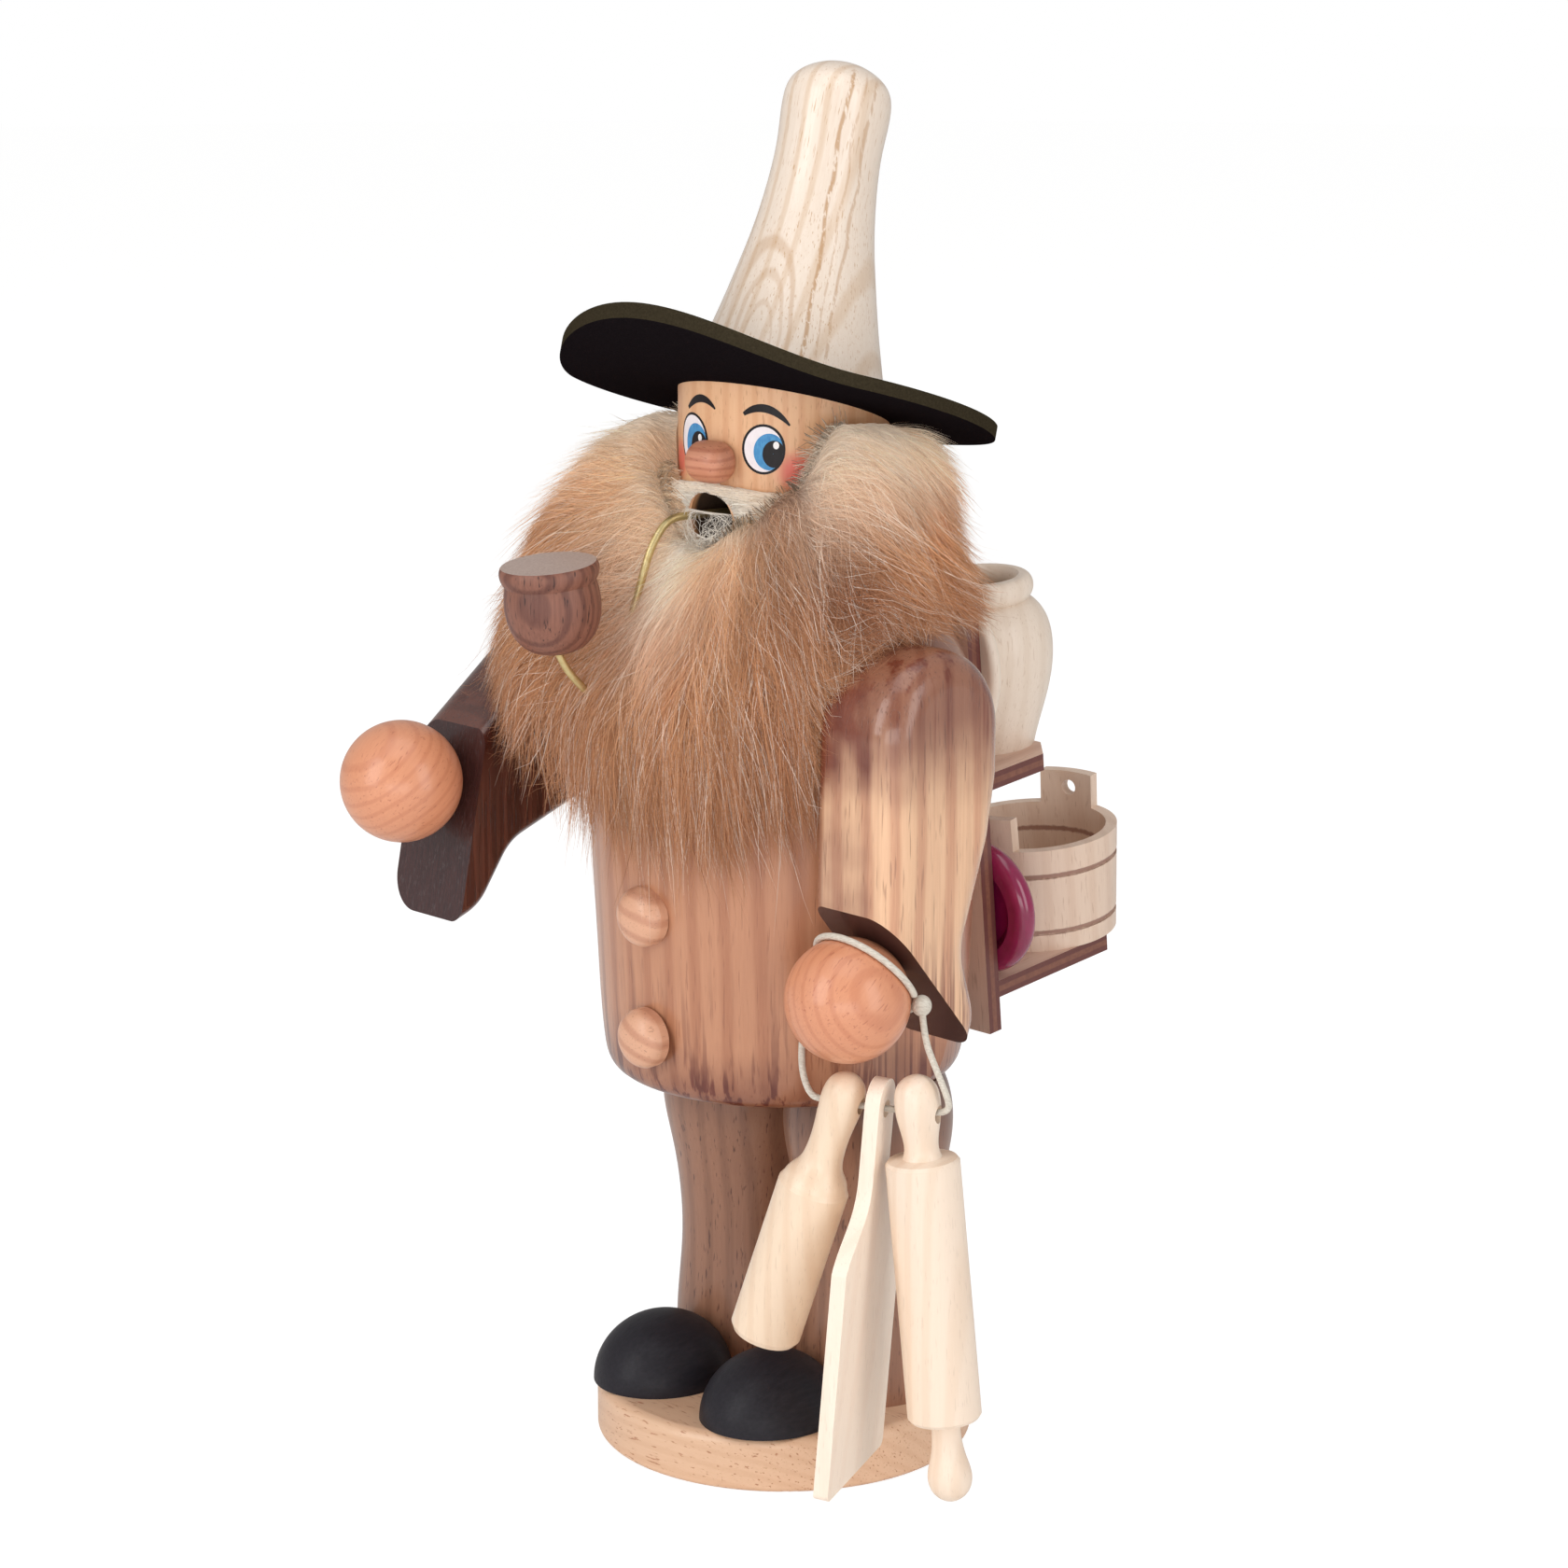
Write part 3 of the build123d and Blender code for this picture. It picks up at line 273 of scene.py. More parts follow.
def wood(tree, light, dark, turn=(0, 0, 0), heart=(60.0, 25.0), ring=3.2, rings=0.5, fibres=0.35,
         pores=0.4, pore_size=(3.0, 3.0, 0.3), pore_colour=None, wander=0.22, line=-0.2, relief=0.35):
    """Wood colour: growth rings, long fibres and short pores, all along Z once turned.

    The rings are so many millimetres apart round a heart outside the piece; wander makes them
    uneven, a higher line makes them thinner, and relief is the strength of the grooves.
    """
    place = tree.turned(tree.place, turn)
    wobble = tree.noise((0.05, 0.05, 0.012), detail=2.0, place=place)
    flat = tree.vector("MULTIPLY", tree.vector("ADD", place, (*heart, 0.0)), (1.0, 1.0, 0.0))
    reach = tree.math("MULTIPLY_ADD", wobble, 22.0 * wander)
    tree.feed(reach.node.inputs[2], tree.vector("LENGTH", flat))
    wave = tree.math("SINE", tree.product(reach, 2 * math.pi / ring))
    band = tree.step(wave, line, 1.0)
    fibre = tree.noise((2.4, 2.4, 0.06), detail=4.0, roughness=0.65, place=place)
    pore = tree.noise(pore_size, detail=2.0, roughness=0.5, place=place)
    pore = tree.step(pore, 0.6, 0.72)
    colour = tree.mix(tree.total((band, rings), (fibre, fibres)), light, dark)
    pore_colour = pore_colour or tuple(value * 0.6 for value in dark)
    colour = tree.mix(tree.product(pore, pores), colour, pore_colour)
    grooves = tree.math("ADD", tree.product(fibre, 0.6), tree.product(pore, -0.4))
    tree.bump(grooves, 0.12, relief)
    return colour


def crown_material():
    """Pale ash: fine lines along the cone, an arched figure low in front and broken brown lines."""
    tree = Tree("crown ash")
    axis = Vector(hat_slope).normalized()
    lean = (math.degrees(math.asin(axis.y)), -math.degrees(math.asin(axis.x)), 0)
    colour = wood(tree, srgb(244, 230, 216), srgb(216, 186, 156), turn=lean, heart=(22.0, 66.0),
                  ring=3.6, rings=0.42, fibres=0.5, pores=0.8, pore_size=(4.4, 4.4, 0.3),
                  pore_colour=srgb(200, 158, 116), wander=0.16, line=0.35)
    seat = (0.0, 0.0, hat_seat_height / mm)
    place = tree.vector("SUBTRACT", tree.place, seat)
    up = tree.vector("DOT_PRODUCT", place, tuple(axis))
    front = Vector((0.70, -0.71, 0.0))
    across = front.cross(axis).normalized()
    aside = tree.vector("DOT_PRODUCT", place, tuple(across))
    waver = tree.math("SUBTRACT", tree.noise(0.06, detail=2.0), 0.5)
    aside = tree.math("ADD", aside, tree.product(waver, 3.0))
    in_front = tree.step(tree.facing(tuple(front)), 0.2, 0.6)
    for offset, half_width, depth in ((-1.2, 0.55, 0.75), (-5.2, 0.4, 0.5), (-3.4, 0.3, 0.4)):
        mark = tree.step(tree.away(aside, offset), half_width, half_width * 0.3)
        broken = tree.step(tree.noise((1.5, 1.5, 0.35)), 0.36, 0.5)
        colour = tree.mix(tree.product(mark, in_front, broken, depth), colour, srgb(188, 142, 96))
    for spread, depth in ((1.0, 0.45), (0.72, 0.35), (0.45, 0.3)):
        wide = tree.math("DIVIDE", tree.math("SUBTRACT", aside, 6.6), 5.2 * spread)
        high = tree.math("DIVIDE", tree.math("SUBTRACT", up, 6.0), 19.0 * spread)
        square = tree.math("ADD", tree.product(wide, wide), tree.product(high, high))
        rim = tree.step(tree.away(tree.math("SQRT", square), 1.0), 0.1, 0.03)
        colour = tree.mix(tree.product(rim, in_front, depth), colour, srgb(196, 154, 112))
    return tree.finish(colour, roughness=0.3, coat=0.3)


def felt_material():
    """Black felt with lint, browner where its cut edge shows."""
    tree = Tree("felt")
    axis = Vector(hat_slope).normalized()
    edge = tree.step(tree.away(tree.facing(tuple(axis)), 0.0), 0.8, 0.6)
    fuzz = tree.noise(2.6, detail=6.0, roughness=0.75)
    lint = tree.noise((0.9, 3.5, 3.5), distortion=1.5)
    lint = tree.step(lint, 0.66, 0.76)
    body = tree.mix(fuzz, srgb(14, 11, 13), srgb(42, 36, 39))
    rim = tree.mix(fuzz, srgb(34, 30, 22), srgb(88, 78, 60))
    colour = tree.mix(edge, body, rim)
    colour = tree.mix(tree.product(lint, 0.12), colour, srgb(110, 96, 86))
    tree.bump(fuzz, 0.6, 1.0)
    return tree.finish(colour, roughness=1.0, specular=0.0)


def head_material():
    """Warm pale wood with blushed cheeks and a sooty mouth."""
    tree = Tree("head wood")
    colour = wood(tree, srgb(238, 190, 146), srgb(214, 150, 106), heart=(50.0, 60.0), ring=2.6,
                  rings=0.35, fibres=0.45, pores=0.5, pore_size=(3.2, 3.2, 0.5),
                  pore_colour=srgb(180, 116, 76))
    for turn_angle, height, spread in ((-30.0, 170.6, 4.4), (52.0, 170.2, 4.6)):
        angle = math.radians(turn_angle)
        reach = head_radius / mm
        centre = (reach * math.sin(angle), -reach * math.cos(angle), height)
        blush = tree.step(tree.vector("DISTANCE", tree.place, centre), spread, spread * 0.25)
        colour = tree.mix(tree.product(blush, 0.85), colour, srgb(226, 92, 84))
    from_axis = tree.vector("LENGTH", tree.vector("MULTIPLY", tree.place, (1.0, 1.0, 0.0)))
    bore = tree.step(from_axis, 17.1, 16.0)
    soot = tree.mix(tree.noise(1.2), srgb(58, 44, 38), srgb(104, 84, 70))
    colour = tree.mix(bore, colour, soot)
    return tree.finish(colour, roughness=0.42, coat=0.15)


def streaks(tree, size, low, high):
    """Dark stripes along the height, as stain leaves them in soft wood."""
    return tree.step(tree.noise(size, roughness=0.6), low, high)


def drifting_height(tree, mist):
    """Height in millimetres, with a cloudy edge wherever it is cut off."""
    return tree.math("ADD", tree.part(tree.place, "Z"), tree.product(mist, 9.0))


def coat_material():
    """Stained wood, darker at the shoulders and the hem, with dark stripes low down."""
    tree = Tree("coat wood")
    colour = wood(tree, srgb(202, 146, 112), srgb(166, 106, 76), heart=(44.0, 30.0), ring=5.0,
                  rings=0.45, fibres=0.5, pores=0.4, pore_size=(2.4, 2.4, 0.12),
                  pore_colour=srgb(136, 82, 60))
    drift = drifting_height(tree, tree.noise(0.12))
    hem = tree.step(drift, 84.0, 68.0)
    top = tree.step(drift, 128.0, 146.0)
    low = tree.product(tree.step(drift, 102.0, 72.0), streaks(tree, (0.55, 0.55, 0.012), 0.48, 0.6))
    shade = tree.total((hem, 0.75), (top, 0.6), (low, 0.55))
    colour = tree.mix(shade, colour, srgb(142, 98, 96), "MULTIPLY")
    return tree.finish(colour, roughness=0.3, coat=0.35)


def arm_material(name, light, dark, low, high, edge, cuff):
    """Stained wood, darker at the shoulder, one edge and the cuff, and darkest on its sawn face."""
    tree = Tree(name)
    colour = wood(tree, light, dark, heart=(38.0, 90.0), ring=4.2, rings=0.4, fibres=0.6, pores=0.5,
                  pore_size=(2.6, 2.6, 0.14), pore_colour=tuple(value * 0.5 for value in dark),
                  relief=0.9)
    mist = tree.noise(0.12, detail=1.5)
    drift = drifting_height(tree, mist)
    top = tree.step(drift, high - 11.0, high + 9.0)
    end = tree.product(tree.step(drift, low + 26.0, low + 6.0),
                       streaks(tree, (0.7, 0.7, 0.02), 0.44, 0.6))
    side = tree.step(tree.math("ADD", tree.facing(edge), tree.product(mist, 0.5)), 0.75, 1.2)
    stripe = streaks(tree, (0.35, 0.35, 0.015), 0.5, 0.75)
    shade = tree.total((top, 0.85), (end, 0.75), (side, 0.7), (stripe, 0.3))
    colour = tree.mix(shade, colour, srgb(136, 92, 86), "MULTIPLY")
    sawn = tree.step(tree.facing(cuff), 0.9, 0.98)
    marks = tree.noise((2.6, 0.3, 0.3), detail=4.0)
    saw = tree.mix(marks, srgb(36, 18, 22), srgb(78, 46, 44))
    colour = tree.mix(sawn, colour, saw)
    return tree.finish(colour, roughness=0.24, coat=0.5)


def leg_material():
    """Brown stained wood, with painted shade just under the coat."""
    tree = Tree("leg beech")
    colour = wood(tree, srgb(168, 120, 94), srgb(120, 80, 60), heart=(70.0, 20.0), ring=4.0, rings=0.3,
                  fibres=0.6, pores=0.8, pore_size=(2.2, 2.2, 0.3), pore_colour=srgb(84, 50, 40))
    # Painted shade: the legs darken towards the coat hem, where the coat shades them.
    top = tree.step(tree.part(tree.place, "Z"), 50.0, 66.0)
    colour = tree.mix(tree.product(top, 0.6), colour, srgb(62, 34, 32))
    return tree.finish(colour, roughness=0.36, coat=0.3)


def plain_wood(name, light, dark, roughness=0.4, coat=0.2, **grain):
    """Wood with no stain on it."""
    tree = Tree(name)
    return tree.finish(wood(tree, light, dark, **grain), roughness=roughness, coat=coat)


def shoe_material():
    """Black paint over open grain."""
    tree = Tree("shoe paint")
    grain = tree.noise((1.6, 0.25, 1.6), detail=4.0)
    speck = tree.noise(6.0, detail=2.0)
    colour = tree.mix(grain, srgb(24, 23, 28), srgb(46, 43, 50))
    tree.bump(tree.math("ADD", grain, tree.product(speck, 0.5)), 0.1, 0.4)
    return tree.finish(colour, roughness=0.5, coat=0.03, specular=0.22)


def walnut_material():
    """Dark streaked wood with paler end grain on top."""
    tree = Tree("pipe walnut")
    colour = wood(tree, srgb(156, 104, 84), srgb(88, 48, 40), heart=(20.0, 14.0), ring=1.7, rings=0.35,
                  fibres=0.8, pores=0.9, pore_size=(2.4, 2.4, 0.3), pore_colour=srgb(46, 24, 22))
    top = tree.step(tree.facing((0.0, 0.0, 1.0)), 0.75, 0.95)
    end_grain = tree.noise(2.2, detail=4.0)
    face = tree.mix(end_grain, srgb(150, 122, 110), srgb(204, 186, 176))
    colour = tree.mix(top, colour, face)
    return tree.finish(colour, roughness=0.5)


def brass_material():
    tree = Tree("brass wire")
    tarnish = tree.noise(0.8, detail=4.0)
    colour = tree.mix(tarnish, srgb(232, 218, 168), srgb(186, 158, 100))
    tree.bump(tree.noise(5.0, detail=2.0), 0.02, 0.3)
    return tree.finish(colour, roughness=tree.step(tarnish, -1.2, 2.4), metallic=1.0)


def board_material(name, normal, origin, along):
    """Thin plywood: pale faces, and edges scorched purple-brown with their plies showing."""
    tree = Tree(name)
    colour = wood(tree, srgb(226, 196, 178), srgb(196, 156, 136), turn=along, heart=(80.0, 46.0),
                  ring=6.0, rings=0.4, fibres=0.45, pores=0.4, pore_size=(2.6, 2.6, 0.16),
                  pore_colour=srgb(150, 106, 84))
    edge = tree.step(tree.away(tree.facing(normal), 0.0), 0.7, 0.4)
    level = tree.vector("DOT_PRODUCT", tree.vector("SUBTRACT", tree.place, origin), normal)
    middle = tree.step(tree.away(level, board_thickness / 2), board_thickness * 0.2,
                       board_thickness * 0.14)
    scorch = tree.mix(middle, srgb(112, 62, 54), srgb(150, 98, 74))
    char = tree.noise(0.9, detail=5.0, roughness=0.7)
    scorch = tree.mix(char, scorch, srgb(92, 46, 42))
    return tree.finish(tree.mix(edge, colour, scorch), roughness=0.5, coat=0.05)


def bucket_material(foot, up):
    """Pale wood with two burnt rings round its outside."""
    tree = Tree("bucket maple")
    colour = wood(tree, srgb(232, 208, 188), srgb(208, 174, 150), turn=(-8, 0, 0), heart=(40.0, 70.0),
                  ring=4.4, rings=0.25, fibres=0.45, pores=0.4, pore_colour=srgb(184, 146, 122))
    from_foot = tree.vector("SUBTRACT", tree.place, foot)
    level = tree.vector("DOT_PRODUCT", from_foot, up)
    from_axis = tree.vector("LENGTH", tree.vector("CROSS_PRODUCT", from_foot, up))
    outside = tree.step(from_axis, 12.2, 12.6)
    for height in (3.5, 14.1):
        char = tree.noise(1.1)
        reach = tree.math("ADD", tree.away(level, height), tree.product(char, 0.6))
        ring = tree.step(reach, 0.95, 0.5)
        colour = tree.mix(tree.product(ring, outside, 0.75), colour, srgb(132, 80, 64))
    return tree.finish(colour, roughness=0.42, coat=0.1)


def magenta_material():
    tree = Tree("magenta paint")
    sweep = tree.noise((0.3, 0.3, 0.3))
    colour = tree.mix(sweep, srgb(120, 14, 60), srgb(158, 26, 84))
    tree.bump(tree.noise((1.2, 1.2, 0.2)), 0.05, 0.3)
    return tree.finish(colour, roughness=0.2, coat=0.6)


def string_material():
    tree = Tree("string")
    lay = tree.noise((1.2, 1.2, 4.5), detail=2.0, place=tree.turned(tree.place, (35, 20, 0)))
    colour = tree.mix(lay, srgb(180, 168, 152), srgb(246, 240, 228))
    tree.bump(lay, 0.35, 0.8)
    return tree.finish(colour, roughness=0.9, specular=0.2)


def fur_material():
    """Hair colour comes from each strand's own tint; a little light passes through, and a faint
    painted glow in the same colour lifts the shaded fur.
    """
    tree = Tree("fur")
    tint = tree.nodes.new("ShaderNodeAttribute")
    tint.attribute_name = "tint"
    flicker = tree.noise(1.4, detail=2.0)
    colour = tree.mix(tree.product(flicker, 0.25), tint.outputs["Color"], srgb(120, 84, 64),
                      "MULTIPLY")
    material = tree.finish(colour, roughness=0.6, specular=0.15)
    # Painted light: the fur glows faintly in its own colour, so that shaded strands stay bright.
    tree.feed(tree.surface.inputs["Emission Color"], colour)
    tree.surface.inputs["Emission Strength"].default_value = 0.2
    glow = tree.nodes.new("ShaderNodeBsdfTranslucent")
    tree.feed(glow.inputs["Color"], colour)
    both = tree.nodes.new("ShaderNodeMixShader")
    both.inputs[0].default_value = 0.3
    tree.links.new(tree.surface.outputs[0], both.inputs[1])
    tree.links.new(glow.outputs[0], both.inputs[2])
    tree.links.new(both.outputs[0], tree.output.inputs["Surface"])
    return material


def paint_material(name, first, second, roughness=0.35):
    tree = Tree(name)
    stroke = tree.noise((2.2, 2.2, 0.8))
    return tree.finish(tree.mix(stroke, first, second), roughness=roughness, specular=0.25)


# Fur: strands that follow guides, by azimuth from the face towards the figure's left
# Each guide runs from its root on the head to its tips: distance from the axis and height
fur_guides = (
    (-180, ((17.8, 171), (22, 168), (24, 162), (25, 156), (26, 151), (27, 147))),
    (-135, ((17.8, 173), (24, 170), (28, 164), (30, 157), (31, 151), (32, 146))),
    (-95, ((17.8, 176), (25, 173), (32, 167), (37, 159), (40, 152), (42, 146))),
    (-60, ((17.8, 176), (26, 173), (34, 166), (42, 156), (46, 145), (47, 135))),
    (-45, ((17.8, 174), (25, 172), (33, 166), (41, 155), (46, 141), (47.5, 127))),
    (-30, ((17.8, 166), (24, 166), (32, 160), (41, 150), (46, 137), (45, 121))),
    (-12, ((17.8, 156), (21, 156), (26, 150), (32, 143), (39.5, 131), (38.5, 112))),
    (8, ((17.8, 155), (22, 155), (29, 149), (35, 140), (39, 128), (37, 108))),
    (30, ((17.8, 160), (24, 160), (31, 153), (36, 142), (38, 129), (36, 109))),
    (50, ((17.8, 166), (25, 166), (32, 158), (36, 147), (37, 132), (35, 113))),
    (70, ((17.8, 177), (27, 176), (35, 168), (38, 158), (38.5, 151), (38, 145))),
    (95, ((17.8, 177), (26, 175), (31, 168), (33, 160), (36, 152), (39, 146))),
    (135, ((17.8, 174), (21, 172), (23.5, 166), (24, 159), (26, 152), (28, 147))),
    (180, ((17.8, 171), (22, 168), (24, 162), (25, 156), (26, 151), (27, 147))),
)
guide_turns = np.array([turn for turn, _ in fur_guides], float)
guide_points = np.array([points for _, points in fur_guides], float)


def along_guides(turn, share):
    """Points in millimetres on the outer fur, by azimuth in degrees and share of the way down.

    A share past 1 goes straight on from the tips.
    """
    turn = (np.asarray(turn) + 180) % 360 - 180
    after = np.clip(np.searchsorted(guide_turns, turn, side="right"), 1, len(guide_turns) - 1)
    blend = (turn - guide_turns[after - 1]) / (guide_turns[after] - guide_turns[after - 1])
    blend = blend * blend * (3 - 2 * blend)
    last = guide_points.shape[1] - 1
    spot = np.asarray(share) * last
    knot = np.clip(np.floor(spot).astype(int), 0, last - 1)
    rest = spot - knot
    inside = np.clip(rest, 0, 1)[..., None]
    beyond = np.maximum(rest - 1, 0)[..., None]

    def on(column):
        before = guide_points[column, np.clip(knot - 1, 0, last)]
        start = guide_points[column, knot]
        end = guide_points[column, knot + 1]
        behind = guide_points[column, np.clip(knot + 2, 0, last)]
        first = (end - before) / 2
        second = (behind - start) / 2
        cube = inside ** 3
        square = inside ** 2
        curve = start * (2 * cube - 3 * square + 1) + first * (cube - 2 * square + inside)
        curve = curve + end * (3 * square - 2 * cube) + second * (cube - square)
        return curve + (end - start) * beyond

    mixed = on(after - 1) * (1 - blend[..., None]) + on(after) * blend[..., None]
    angle = np.radians(turn)
    return np.stack([mixed[..., 0] * np.sin(angle), -mixed[..., 0] * np.cos(angle), mixed[..., 1]], -1)


def guide_frames(turn, share):
    """Outer point and outward direction there."""
    point = along_guides(turn, share)
    down = along_guides(turn, share + 0.02) - point
    beside = along_guides(np.asarray(turn) + 1.0, share) - point
    outward = np.cross(down, beside)
    outward /= np.linalg.norm(outward, axis=-1, keepdims=True) + 1e-9
    radial = np.stack([point[..., 0], point[..., 1], np.zeros_like(point[..., 0])], -1)
    outward *= np.sign(np.sum(outward * radial, -1, keepdims=True) + 1e-9)
    return point, outward


fur_white = np.array(srgb(255, 250, 240))
fur_cream = np.array(srgb(246, 214, 176))
fur_tan = np.array(srgb(210, 162, 122))
fur_brown = np.array(srgb(174, 124, 92))
fur_dark = np.array(srgb(138, 88, 66))

# Outline of the coat, as in the part: up its height and out along its radius
coat_outline = ((0.0, 0.86), (0.055, 0.94), (0.26, 0.975), (0.48, 1.0), (0.66, 1.0), (0.79, 0.975),
                (0.885, 0.87), (0.955, 0.68), (1.0, 0.46))


def body_reach(height):
    """Radius of the head or the coat at a height, in millimetres."""
    up, out = np.array(coat_outline).T
    span = (neck_height - hem_height) / mm
    coat = np.interp(height, hem_height / mm + up * span, out * coat_radius / mm)
    return np.where(height > neck_height / mm, head_radius / mm, coat)


def off_body(paths, clearance, height=None):
    """Push paths out from the axis until they clear the head and the coat."""
    reach = np.linalg.norm(paths[..., :2], axis=-1)
    least = body_reach(paths[..., 2] if height is None else height) + clearance
    paths[..., :2] *= (np.maximum(reach, least) / reach)[..., None]


def smooth(value, low, high):
    """Smooth rise from 0 at low to 1 at high."""
    share = np.clip((value - low) / (high - low), 0, 1)
    return share * share * (3 - 2 * share)


def bell(value, middle, width):
    """1 at the middle, fading to 0 over about two widths."""
    return np.exp(-((value - middle) / width) ** 2)


def fur_tint(turn, share, point):
    """Colour of the fur: white by the hat and mouth, then cream and tan, and a browner fringe."""
    turn = (turn + 180) % 360 - 180

    def blend(base, colour, amount):
        amount = amount[..., None]
        return base * (1 - amount) + colour * amount

    base = blend(np.broadcast_to(fur_cream, point.shape), fur_tan, smooth(share, 0.15, 0.62))
    base = blend(base, fur_brown, 0.75 * smooth(share, 0.55, 1.0))
    chin = bell(turn, -2, 20) * (1 - smooth(share, 0.3, 0.8))
    hat = smooth(np.abs(turn), 36, 58) * (1 - smooth(share, 0.2, 0.65))
    base = blend(base, fur_white, np.clip(0.72 * chin + 0.5 * hat, 0, 1))
    base = blend(base, fur_brown, 0.6 * bell(turn, 44, 12))
    lock = bell(turn, 62, 11) * bell(point[..., 2], 152, 10)
    return blend(base, fur_dark, 0.7 * lock)


def quads_mesh(name, points, quads, tints=None):
    """Mesh from numpy points in metres and quads, with a tint for each point."""
    mesh = bpy.data.meshes.new(name)
    mesh.vertices.add(len(points))
    mesh.vertices.foreach_set("co", np.ascontiguousarray(points, np.float32).ravel())
    mesh.loops.add(quads.size)
    mesh.loops.foreach_set("vertex_index", np.ascontiguousarray(quads, np.int32).ravel())
    mesh.polygons.add(len(quads))
    mesh.polygons.foreach_set("loop_start", np.arange(0, quads.size, 4, dtype=np.int32))
    mesh.update(calc_edges=True)
    shade_smooth(mesh)
    if tints is not None:
        layer = mesh.color_attributes.new("tint", "FLOAT_COLOR", "POINT")
        rgba = np.concatenate([tints, np.ones((len(tints), 1))], 1)
        layer.data.foreach_set("color", np.ascontiguousarray(rgba, np.float32).ravel())
    mesh.validate()
    return add_object(name, mesh)


def carry(made, material):
    """Give a new piece its material and let it move with the upper body."""
    made.data.materials.append(material)
    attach(made, "upper_body")


def strands_mesh(name, paths, outward, tints, width):
    """Flat tapered strands along paths of points in millimetres."""
    count, steps, _ = paths.shape
    run = np.gradient(paths, axis=1)
    run /= np.linalg.norm(run, axis=2, keepdims=True) + 1e-9
    spin = seed.normal(0, 0.5, (count, 1, 1))
    side = np.cross(run, outward)
    side /= np.linalg.norm(side, axis=2, keepdims=True) + 1e-9
    side = side * np.cos(spin) + np.cross(run, side) * np.sin(spin)
    taper = np.interp(np.linspace(0, 1, steps), (0, 0.15, 0.6, 1), (0.5, 1, 0.8, 0.08))
    taper = taper[None, :, None]
    half = side * taper * np.asarray(width)[:, None, None] / 2
    points = np.stack([paths - half, paths + half], 2).reshape(-1, 3) * mm
    first = np.arange(count)[:, None] * steps * 2 + np.arange(steps - 1)[None, :] * 2
    quads = np.stack([first, first + 1, first + 3, first + 2], -1).reshape(-1, 4)
    return quads_mesh(name, points, quads, np.repeat(tints.reshape(-1, 3), 2, axis=0))


strand_steps = 8

# Sideways drift of the locks in degrees, by azimuth: combed away from the mouth on both sides
comb_turns = (-180, -100, -60, -32, -10, 10, 30, 55, 80, 120, 180)
comb_drifts = (0, -5, -9, -13, -3, 2, 6, 11, 9, 4, 0)


def clumped_fur(turns, clumps, strands, length=(0.28, 0.52), lift=(1.0, 1.6), depths=(0.2, 3.4),
                wave=1.8):
    """Paths of strands that lie in locks over the outer fur between two azimuths."""
    turn = seed.uniform(*turns, clumps)
    reach = seed.uniform(*length, clumps)
    at_root = seed.uniform(0, 1, clumps) < 0.35
    share = np.where(at_root, seed.uniform(0, 0.07, clumps),
                     0.02 + 0.83 * seed.uniform(0, 1, clumps) ** 0.75)
    share = np.clip(np.minimum(share, seed.normal(0.97, 0.03, clumps) - reach), 0, 1)
    bare = (turn + 180) % 360 - 180
    drift = np.interp(bare, comb_turns, comb_drifts) * reach / 0.4 + seed.normal(0, 6.5, clumps)
    shine = seed.normal(1.0, 0.1, clumps)
    raise_by = seed.normal(*lift, clumps)
    depth = np.where(at_root, seed.uniform(0.0, 0.8, clumps), seed.uniform(*depths, clumps))
    owner = np.repeat(np.arange(clumps), strands)
    count = len(owner)
    steps = np.linspace(0, 1, strand_steps)[None, :]
    spread_turn = seed.normal(0, 4.4, count)[:, None]
    spread_share = seed.normal(0, 0.035, count)[:, None]
    gather = 1 - 0.85 * steps ** 1.3
    own_reach = reach[owner] * seed.uniform(0.65, 1.12, count)
    way_turn = turn[owner][:, None] + spread_turn * gather + drift[owner][:, None] * steps ** 1.3
    ripple = np.sin(steps * 4.5 + seed.uniform(0, 6, count)[:, None])
    way_turn = way_turn + seed.normal(0, wave, count)[:, None] * ripple * steps
    way_share = np.maximum(share[owner][:, None] + spread_share, 0) + own_reach[:, None] * steps
    point, outward = guide_frames(way_turn, way_share)
    own_lift = (raise_by[owner] + seed.normal(0, 0.7, count))[:, None]
    own_depth = (depth[owner] + seed.uniform(-0.3, 0.9, count))[:, None]
    rise = -own_depth * (1 - steps) ** 1.2 + own_lift * steps ** 2.0
    paths = point + outward * rise[..., None]
    off_body(paths, 0.15)
    tints = fur_tint(way_turn, way_share, point)
    guard = seed.uniform(0, 1, count)[:, None, None]
    tints = np.where(guard < 0.14, tints * 0.45 + fur_white * 0.55, tints)
    tints = np.where(guard > 0.9, tints * (0.74, 0.64, 0.58), tints)
    tone = (shine[owner] * seed.normal(1.0, 0.09, count))[:, None, None]
    # Painted shade: strands are darker where they lie deep in the fur and towards their roots.
    shadow = 0.78 + 0.22 * np.clip(1 + rise[..., None] / 2.5, 0, 1)
    tints = np.clip(tints * tone * shadow * (0.92 + 0.14 * steps[..., None]), 0.004, 1)
    return paths, outward, tints, count


